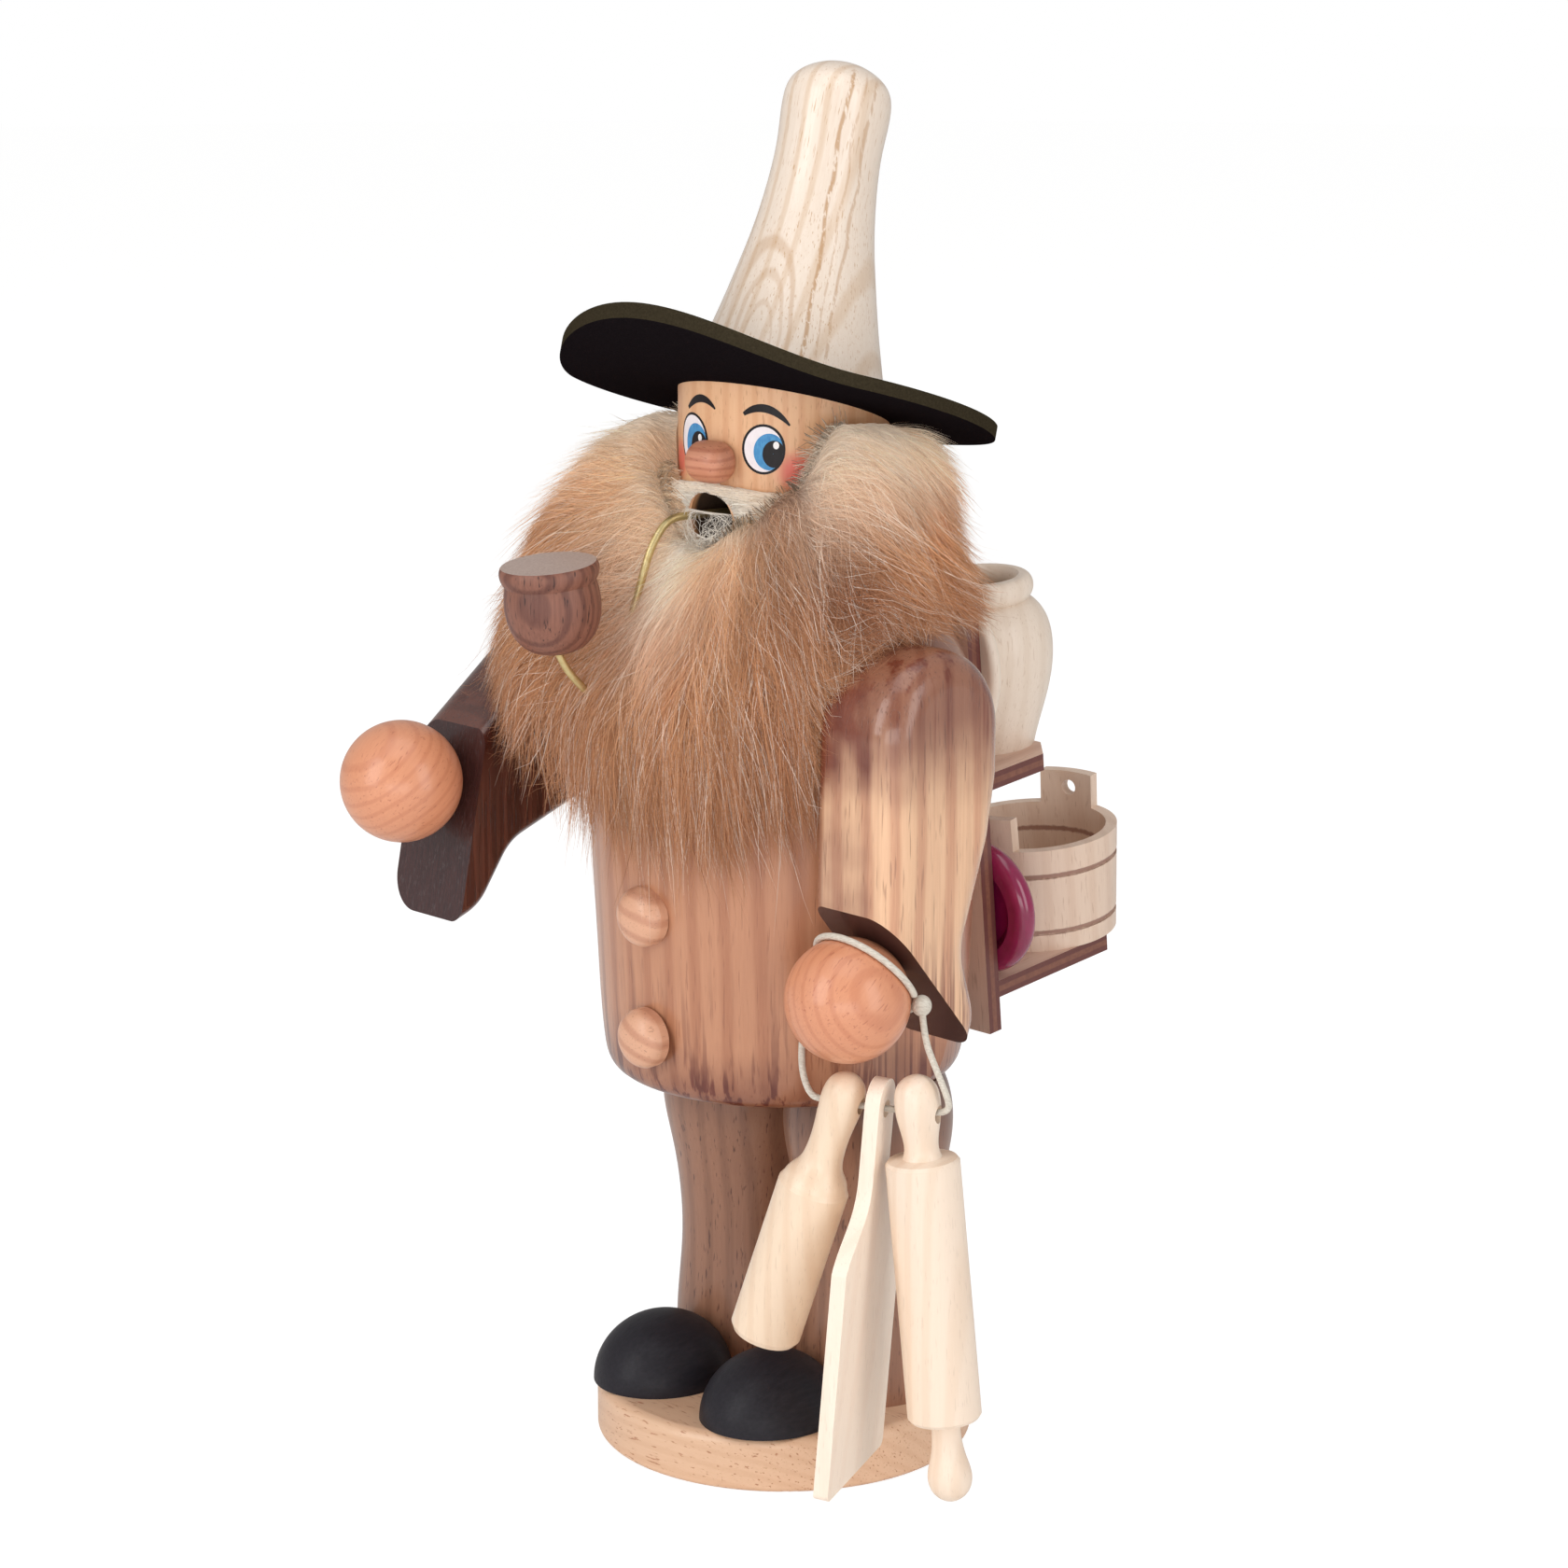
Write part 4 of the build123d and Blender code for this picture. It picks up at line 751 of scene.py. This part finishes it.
def undercoat(name, turns, columns, rows=34):
    """Closed body of fur under the strands, so that nothing shows through them; its tint is darkened
    as painted shade deep in the fur.
    """
    turn, share = np.meshgrid(np.linspace(*turns, columns), np.linspace(0.0, 0.86, rows))
    point, outward = guide_frames(turn, share)
    # Painted shade: the undercoat is darker than the strands over it.
    tints = fur_tint(turn, share, point) * (0.72, 0.64, 0.58)
    sink = 0.3 + 2.3 * smooth(share, 0.0, 0.3) + 4.5 * smooth(share, 0.6, 0.86)
    outer = point - outward * sink[..., None]
    layers = []
    for shape, clearance in ((outer, 0.5), (outer * (0, 0, 1) + point * (0.01, 0.01, 0), 0.2)):
        off_body(shape, clearance)
        layers.append(shape)
    points = np.stack(layers).reshape(-1, 3)
    number = np.arange(points.shape[0]).reshape(2, rows, columns)
    skin, lining = number
    front = np.stack([skin[:-1, :-1], skin[:-1, 1:], skin[1:, 1:], skin[1:, :-1]], -1)
    back = np.stack([lining[:-1, :-1], lining[1:, :-1], lining[1:, 1:], lining[:-1, 1:]], -1)
    rim = np.concatenate([number[:, 0, :], number[:, :, -1][:, 1:], number[:, -1, ::-1][:, 1:],
                          number[:, ::-1, 0][:, 1:]], 1)
    sides = np.stack([rim[0, :-1], rim[1, :-1], rim[1, 1:], rim[0, 1:]], -1)
    quads = np.concatenate([front.reshape(-1, 4), back.reshape(-1, 4), sides])
    return quads_mesh(name, points * mm, quads, np.tile(tints.reshape(-1, 3), (2, 1)))


def on_head(arc, height, rise):
    """Points in millimetres on the head, by the way round it and up, and off it by the rise."""
    angle = arc / (head_radius / mm)
    outward = np.stack([np.sin(angle), -np.cos(angle), np.zeros_like(angle)], -1)
    paths = outward * (head_radius / mm + rise)[..., None]
    paths[..., 2] = height
    return paths, outward


def mouth_fur(strands):
    """White fur that starts round the mouth and under the nose and lies outward and down."""
    ring = seed.uniform(0, 2 * math.pi, strands)
    start = 4.9 + 5.2 * seed.uniform(0, 1, strands) ** 1.5
    steps = np.linspace(0, 1, strand_steps)[None, :]
    rising = np.clip(np.sin(ring), 0, 1)
    length = seed.uniform(6, 15, strands) * (1 - 0.7 * rising)
    reach = start[:, None] + length[:, None] * steps
    bend = ring[:, None] + seed.normal(0, 0.22, strands)[:, None] * steps
    arc = reach * np.cos(bend) * 1.1
    sag = 4.0 * steps ** 2 * (1 - rising[:, None])
    height = mouth_height / mm + reach * np.sin(bend) * 0.92 - sag
    below_nose = 168.0 - 0.1 * np.abs(arc - 1) - seed.uniform(0, 1.6, strands)[:, None]
    height = np.minimum(height, below_nose)
    stand = seed.uniform(0.3, 3.4, strands)[:, None] * np.sin(steps * 1.9)
    rise = 0.2 + stand * (1 - 0.5 * rising[:, None])
    rise = rise + 3.0 * np.clip(-np.sin(ring), 0, 1)[:, None] * steps ** 1.5
    paths, outward = on_head(arc, height, rise)
    share = np.clip((reach[..., None] - 6) / 14, 0, 1)
    tint = fur_white * (1 - 0.7 * share) + fur_cream * (0.7 * share)
    tone = seed.normal(0.97, 0.08, strands)[:, None, None]
    # Painted shade: each strand is darker towards its root.
    tints = np.clip(tint * tone * (0.82 + 0.18 * steps[..., None]), 0, 1)
    return paths, outward, tints, strands


def edge_fur(strands):
    """Fur that stands up from the head along the edge of the face, then lies back over the locks."""
    turn = seed.uniform(-64, 84, strands)
    root = along_guides(turn, np.zeros(strands))
    to_face = np.clip((np.abs(turn - 3) - 34) / 16, 0, 1)
    inset = seed.uniform(-0.6, 1.5, strands)
    steps = np.linspace(0, 1, strand_steps)[None, :]
    reach = seed.uniform(0.14, 0.34, strands)
    combed = np.interp(turn, comb_turns, comb_drifts)[:, None]
    aside = seed.normal(0, 4.0, strands)[:, None] + combed * 0.8
    inward = (np.sign(turn - 3) * to_face * inset * 3.2)[:, None] * (1 - steps)
    way_turn = turn[:, None] - inward + aside * steps
    way = along_guides(way_turn, reach[:, None] * steps)
    way[..., 2] += (inset * (1 - to_face))[:, None] * (1 - steps)
    radial = way * (1, 1, 0)
    radial /= np.linalg.norm(radial, axis=-1, keepdims=True)
    rise = seed.uniform(0.8, 2.6, strands)[:, None] * np.sin(np.clip(steps * 2.6, 0, 2.2))
    _, outward = guide_frames(way_turn, reach[:, None] * steps)
    paths = way + radial * (rise * (1 - steps))[..., None]
    paths = paths + outward * (rise * steps * 0.9)[..., None]
    tints = fur_tint(way_turn, reach[:, None] * steps, way) * 0.7 + fur_white * 0.3
    brown = bell(way_turn, 46, 9)[..., None]
    tints = tints * (1 - 0.6 * brown) + fur_brown * 0.6 * brown
    tone = seed.normal(0.96, 0.09, strands)[:, None, None]
    # Painted shade: each strand is darker towards its root.
    tints = np.clip(tints * tone * (0.85 + 0.15 * steps[..., None]), 0, 1)
    off_body(paths, 0.1, root[:, 2][:, None])
    return paths, radial, tints, strands


def mouth_wisps(strands):
    """Loose curled hairs that cross the lower half of the mouth."""
    start = seed.uniform(-2.9, 0.5, strands)
    finish = start + seed.uniform(1.6, 3.4, strands) * seed.choice((-1, 1), strands)
    steps = np.linspace(0, 1, strand_steps)[None, :]
    ring = start[:, None] * (1 - steps) + finish[:, None] * steps
    arch = np.sin(steps * math.pi)
    reach = (mouth_radius / mm) * (1.12 - seed.uniform(0.2, 0.95, strands)[:, None] * arch)
    drop = seed.uniform(-2.0, 0.2, strands)[:, None] * arch
    height = np.minimum(mouth_height / mm + reach * np.sin(ring) + drop, mouth_height / mm + 1.6)
    rise = 0.9 + seed.uniform(0.1, 1.8, strands)[:, None] * arch
    paths, outward = on_head(reach * np.cos(ring), height, rise)
    tone = seed.uniform(0.75, 1.0, strands)[:, None, None]
    tints = np.clip(fur_white * tone * np.ones_like(steps)[..., None], 0, 1)
    return paths, outward, tints, strands


fur = fur_material()


def fur_piece(name, strands, widths):
    """One piece of fur from its strands' paths."""
    paths, outward, tints, count = strands
    made = strands_mesh(name, paths, outward, tints, seed.uniform(*widths, count))
    carry(made, fur)


def add_fur():
    """All fur pieces; each undercoat stands for its plain solid."""
    scale = 1.0
    groups = (
        ("beard", (-104, 62), 6, int(240 * scale), 36),
        ("hair", (62, 256), 4, int(210 * scale), 36),
    )
    for name, turns, pieces, clumps, strands in groups:
        under = undercoat(f"{name}_undercoat", turns, 72)
        carry(under, fur)
        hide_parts(name)
        for index in range(pieces):
            fur_piece(f"{name}_fur_{index + 1}", clumped_fur(turns, clumps, strands), (0.1, 0.2))
        loose = clumped_fur(turns, int(70 * scale), 6, length=(0.3, 0.6), lift=(3.0, 2.2), wave=5.0)
        fur_piece(f"{name}_loose_hairs", loose, (0.06, 0.11))
    fur_piece("mouth_fur", mouth_fur(int(7000 * scale)), (0.09, 0.18))
    fur_piece("mouth_wisps", mouth_wisps(170), (0.05, 0.08))
    fur_piece("edge_fur", edge_fur(int(7000 * scale)), (0.09, 0.18))


add_fur()


# Painted face: thin shapes laid on the head, drawn flat in millimetres round the head and up
def painted(name, flat, quads, lift, material):
    """Paint on the head from quads over (along, up) points, a hair's breadth off the wood."""
    angle = flat[:, 0] / (head_radius / mm)
    reach = head_radius / mm + lift
    points = np.stack([reach * np.sin(angle), -reach * np.cos(angle), flat[:, 1]], -1) * mm
    carry(quads_mesh(name, points, quads), material)


def face_patch(name, outline, lift, material, rings=6):
    """Patch of paint inside an outline."""
    outline = np.array(outline, float)
    middle = outline.mean(0)
    count = len(outline)
    grown = [middle + (outline - middle) * share for share in np.linspace(0.02, 1, rings)]
    number = np.arange(rings * count).reshape(rings, count)
    after = np.roll(number, -1, axis=1)
    quads = np.stack([number[1:], after[1:], after[:-1], number[:-1]], -1).reshape(-1, 4)
    painted(name, np.concatenate(grown), quads, lift, material)


def oval(along, up, half_width, half_height, count=40):
    """Outline of an oval eye."""
    angle = np.linspace(0, 2 * math.pi, count, endpoint=False)
    return np.stack([along + half_width * np.cos(angle), up + half_height * np.sin(angle)], -1)


def inside(outline, limit):
    """Outline drawn in to stay inside another oval outline given by its centre and half sizes."""
    along, up, half_width, half_height = limit
    shape = np.array(outline)
    x = (shape[:, 0] - along) / half_width
    y = (shape[:, 1] - up) / half_height
    reach = np.sqrt(x * x + y * y)
    pull = np.where(reach > 1, 1 / reach, 1)
    return np.stack([along + x * pull * half_width, up + y * pull * half_height], -1)


def brow(points, thickness, count=14):
    """Tapered stroke through three points."""
    share = np.linspace(0, 1, count)
    first, middle, last = [np.array(point, float) for point in points]
    control = 2 * middle - (first + last) / 2
    line = ((1 - share) ** 2)[:, None] * first + (2 * share * (1 - share))[:, None] * control
    line = line + (share ** 2)[:, None] * last
    run = np.gradient(line, axis=0)
    side = np.stack([-run[:, 1], run[:, 0]], -1) / np.linalg.norm(run, axis=1, keepdims=True)
    half = side * (thickness / 2 * np.sin(np.pi * (0.12 + 0.83 * share)) ** 0.8)[:, None]
    return np.concatenate([line + half, (line - half)[::-1]])


def stroke_mesh(name, outline, lift, material):
    """Patch between the two long sides of a stroke."""
    half = len(outline) // 2
    flat = np.concatenate([outline[:half], outline[half:][::-1]])
    first = np.arange(half - 1)
    quads = np.stack([first, first + half, first + half + 1, first + 1], -1)
    painted(name, flat, quads, lift, material)


def add_face():
    """Eyes and brows."""
    black = paint_material("eye black", srgb(12, 8, 10), srgb(34, 26, 30))
    white = paint_material("eye white", srgb(240, 228, 232), srgb(252, 246, 248))
    blue = paint_material("eye blue", srgb(30, 104, 176), srgb(100, 178, 222))
    light = paint_material("eye light", srgb(255, 252, 250), srgb(246, 244, 244))
    layer = 0.03
    eyes = (
        ("right", (-3.95, 174.3, 3.95, 4.5), (1.0, -0.5), 2.9),
        ("left", (10.3, 173.9, 3.6, 4.1), (1.0, -0.4), 2.6),
    )
    for name, (along, up, half_width, half_height), shift, iris in eyes:
        lid = 0.42
        limit = (along, up, half_width - lid, half_height - lid)
        face_patch(f"{name}_eye_line", oval(along, up, half_width, half_height), layer, black)
        face_patch(f"{name}_eye_white", oval(*limit), 2 * layer, white)
        centre = (along + shift[0], up + shift[1])
        ball = oval(*centre, iris, iris * 1.15)
        face_patch(f"{name}_eye_blue", inside(ball, limit), 3 * layer, blue)
        pupil = oval(centre[0] + 0.75, centre[1] - 0.35, iris * 0.72, iris * 0.85)
        face_patch(f"{name}_eye_pupil", inside(pupil, limit), 4 * layer, black)
        gleam = oval(centre[0] + 1.1, centre[1] + 1.1, 0.48, 0.62)
        face_patch(f"{name}_eye_light", gleam, 5 * layer, light)
    stroke_mesh("right_brow", brow(((-5.4, 179.4), (-1.7, 181.35), (1.6, 179.9)), 1.3), layer, black)
    stroke_mesh("left_brow", brow(((7.0, 179.5), (10.8, 180.5), (14.6, 177.8)), 1.35), layer, black)


add_face()


# Finish the solid pieces
def soften(node):
    """Smooth shading that keeps the real edges."""
    node.data.set_sharp_from_angle(angle=math.radians(35))
    shade_smooth(node.data)


def rack_spot(level, across, back):
    """Place in millimetres on the rack: up the panel, across it and out behind it."""
    foot = Vector((across, 34.4, 66.4))
    return tuple(foot + Vector(rack_back) * (board_thickness + back) + Vector(rack_up) * level)


def dress(material, *names):
    """Give solid pieces a material."""
    for name in names:
        nodes[name].data.materials.clear()
        nodes[name].data.materials.append(material)


for node in nodes.values():
    soften(node)

pale = plain_wood("turned maple", srgb(238, 222, 206), srgb(216, 194, 172), heart=(30.0, 44.0),
                  ring=3.6, rings=0.22, fibres=0.45, pores=0.4, pore_colour=srgb(192, 162, 136))
inner = plain_wood("inner beech", srgb(226, 190, 150), srgb(196, 152, 110), roughness=0.6, coat=0.0)
dress(pale, "pot", "large_plate")
dress(inner, "plug", "right_hand_peg", "left_hand_peg", "right_shoulder_dowel",
      "left_shoulder_dowel")
dress(plain_wood("masher maple", srgb(244, 220, 194), srgb(226, 192, 160), heart=(20.0, 50.0),
                 rings=0.3, fibres=0.25, pores=0.2), "masher")
dress(plain_wood("pin maple", srgb(246, 226, 206), srgb(230, 200, 172), heart=(26.0, 30.0),
                 rings=0.3, fibres=0.25, pores=0.2), "rolling_pin")
dress(plain_wood("board maple", srgb(254, 238, 220), srgb(242, 216, 194), heart=(70.0, 12.0),
                 ring=3.6, rings=0.2, fibres=0.35, pores=0.25), "cutting_board")
dress(plain_wood("button beech", srgb(226, 174, 142), srgb(190, 130, 102), turn=(90, 0, 0),
                 heart=(20.0, 30.0), pores=0.5), "upper_button", "lower_button")
dress(crown_material(), "hat_crown")
dress(felt_material(), "hat_brim")
dress(head_material(), "head")
dress(plain_wood("nose wood", srgb(214, 148, 116), srgb(176, 104, 78), roughness=0.45, coat=0.1,
                 turn=(0, 90, 7), heart=(12.0, 9.0), ring=1.3, rings=0.5, fibres=0.4, pores=0.6,
                 pore_size=(3.0, 3.0, 0.5), pore_colour=srgb(150, 84, 60)), "nose")
dress(coat_material(), "coat")
dress(arm_material("left arm wood", srgb(246, 204, 164), srgb(190, 126, 94), 84.0, 132.0,
                   (-0.7, -0.7, 0.0), (0.0, -0.765, -0.644)), "left_arm")
dress(arm_material("right arm wood", srgb(138, 84, 66), srgb(92, 52, 42), 100.0, 130.0,
                   (1.0, 0.0, 0.0), (0.0, -0.978, 0.206)), "right_arm")
dress(leg_material(), "right_leg", "left_leg")
dress(shoe_material(), "right_shoe", "left_shoe")
dress(plain_wood("base beech", srgb(234, 196, 164), srgb(210, 162, 126), roughness=0.38, coat=0.2,
                 turn=(0, 90, 40), heart=(30.0, 120.0), ring=2.6, rings=0.2, fibres=0.45, pores=0.85,
                 pore_size=(1.8, 2.6, 0.4), pore_colour=srgb(178, 116, 82)), "base")
dress(plain_wood("hand beech", srgb(224, 156, 119), srgb(194, 118, 85), roughness=0.36, coat=0.25,
                 turn=(50, 0, 0), heart=(30.0, 60.0), ring=2.2, rings=0.3, fibres=0.5, pores=0.6,
                 pore_size=(2.6, 2.6, 0.4), pore_colour=srgb(176, 98, 70), line=0.2),
      "right_hand", "left_hand")
dress(walnut_material(), "pipe_bowl")
dress(brass_material(), "pipe_stem", "incense_tray", "tray_nail")
dress(board_material("panel board", rack_back, rack_spot(0, 0, -board_thickness), (-5.6, 0, 0)),
      "back_panel")
dress(board_material("lower shelf board", rack_up, rack_spot(6.0, 0, 0), (84.4, 0, 0)), "lower_shelf")
dress(board_material("upper shelf board", rack_up, rack_spot(43.6, 0, 0), (84.4, 0, 0)), "upper_shelf")
dress(bucket_material(rack_spot(9.0, 2.6, 25.6), rack_up), "bucket")
dress(magenta_material(), "small_plate")
cotton = string_material()
dress(cotton, "wrist_loop", "string_knot")
string.data.materials.append(cotton)


# Light and ground
def area_light(name, place, target, width, height, power):
    """Soft lamp that looks at its target."""
    data = bpy.data.lights.new(name, "AREA")
    data.shape = "RECTANGLE"
    data.size = width
    data.size_y = height
    data.energy = power
    lamp = add_object(name, data)
    lamp.location = place
    lamp.rotation_euler = (Vector(target) - Vector(place)).to_track_quat("-Z", "Y").to_euler()


def whiten(tree, lit, kind, strength, share, output):
    """Let a share of plain white of a kind of glow stand in where the camera looks straight at it."""
    glow = tree.nodes.new(kind)
    glow.inputs["Color"].default_value = (1.0, 1.0, 1.0, 1.0)
    glow.inputs["Strength"].default_value = strength
    path = tree.nodes.new("ShaderNodeLightPath")
    amount = tree.nodes.new("ShaderNodeMath")
    amount.operation = "MULTIPLY"
    amount.inputs[1].default_value = share
    mix = tree.nodes.new("ShaderNodeMixShader")
    tree.links.new(path.outputs["Is Camera Ray"], amount.inputs[0])
    tree.links.new(amount.outputs[0], mix.inputs[0])
    tree.links.new(lit.outputs[0], mix.inputs[1])
    tree.links.new(glow.outputs[0], mix.inputs[2])
    tree.links.new(mix.outputs[0], tree.nodes[output].inputs["Surface"])


def add_world(strength):
    """Even light from all round, and a white backdrop."""
    world = bpy.data.worlds.new("studio")
    world.use_nodes = True
    bpy.context.scene.world = world
    background = world.node_tree.nodes["Background"]
    background.inputs["Color"].default_value = (1.0, 0.99, 0.98, 1.0)
    background.inputs["Strength"].default_value = strength
    whiten(world.node_tree, background, "ShaderNodeBackground", 1.0, 1.0, "World Output")


def add_floor():
    """Round white table that fades into the backdrop and keeps only a little of the shadows."""
    reach = 3.0
    turns = np.linspace(0, 2 * math.pi, 48, endpoint=False)
    rings = np.array([0.0001, 0.03, 0.1, 0.3, 1.0]) * reach
    points = np.array([(r * math.cos(a), r * math.sin(a), 0.0) for r in rings for a in turns])
    number = np.arange(len(points)).reshape(len(rings), len(turns))
    after = np.roll(number, -1, axis=1)
    quads = np.stack([number[:-1], number[1:], after[1:], after[:-1]], -1).reshape(-1, 4)
    floor = quads_mesh("floor", points, quads)
    material = bpy.data.materials.new("floor white")
    material.use_nodes = True
    surface = material.node_tree.nodes["Principled BSDF"]
    surface.inputs["Base Color"].default_value = (0.93, 0.93, 0.93, 1.0)
    surface.inputs["Roughness"].default_value = 0.8
    surface.inputs["Specular IOR Level"].default_value = 0.1
    whiten(material.node_tree, surface, "ShaderNodeEmission", 1.24, 0.7, "Material Output")
    floor.data.materials.append(material)


middle = (0.0, 0.0, 0.12)
add_world(0.45)
add_floor()
area_light("left softbox", (-0.15, -1.0, 0.55), middle, 0.5, 0.9, 4.6)
area_light("right softbox", (1.0, 0.05, 0.4), middle, 0.4, 0.9, 3.0)
area_light("top softbox", (0.1, -0.2, 1.1), middle, 0.8, 0.8, 2.6)
area_light("front fill", (0.62, -0.72, 0.06), (0.0, 0.0, 0.16), 0.8, 0.4, 2.6)

bpy.context.scene.view_settings.view_transform = "Standard"
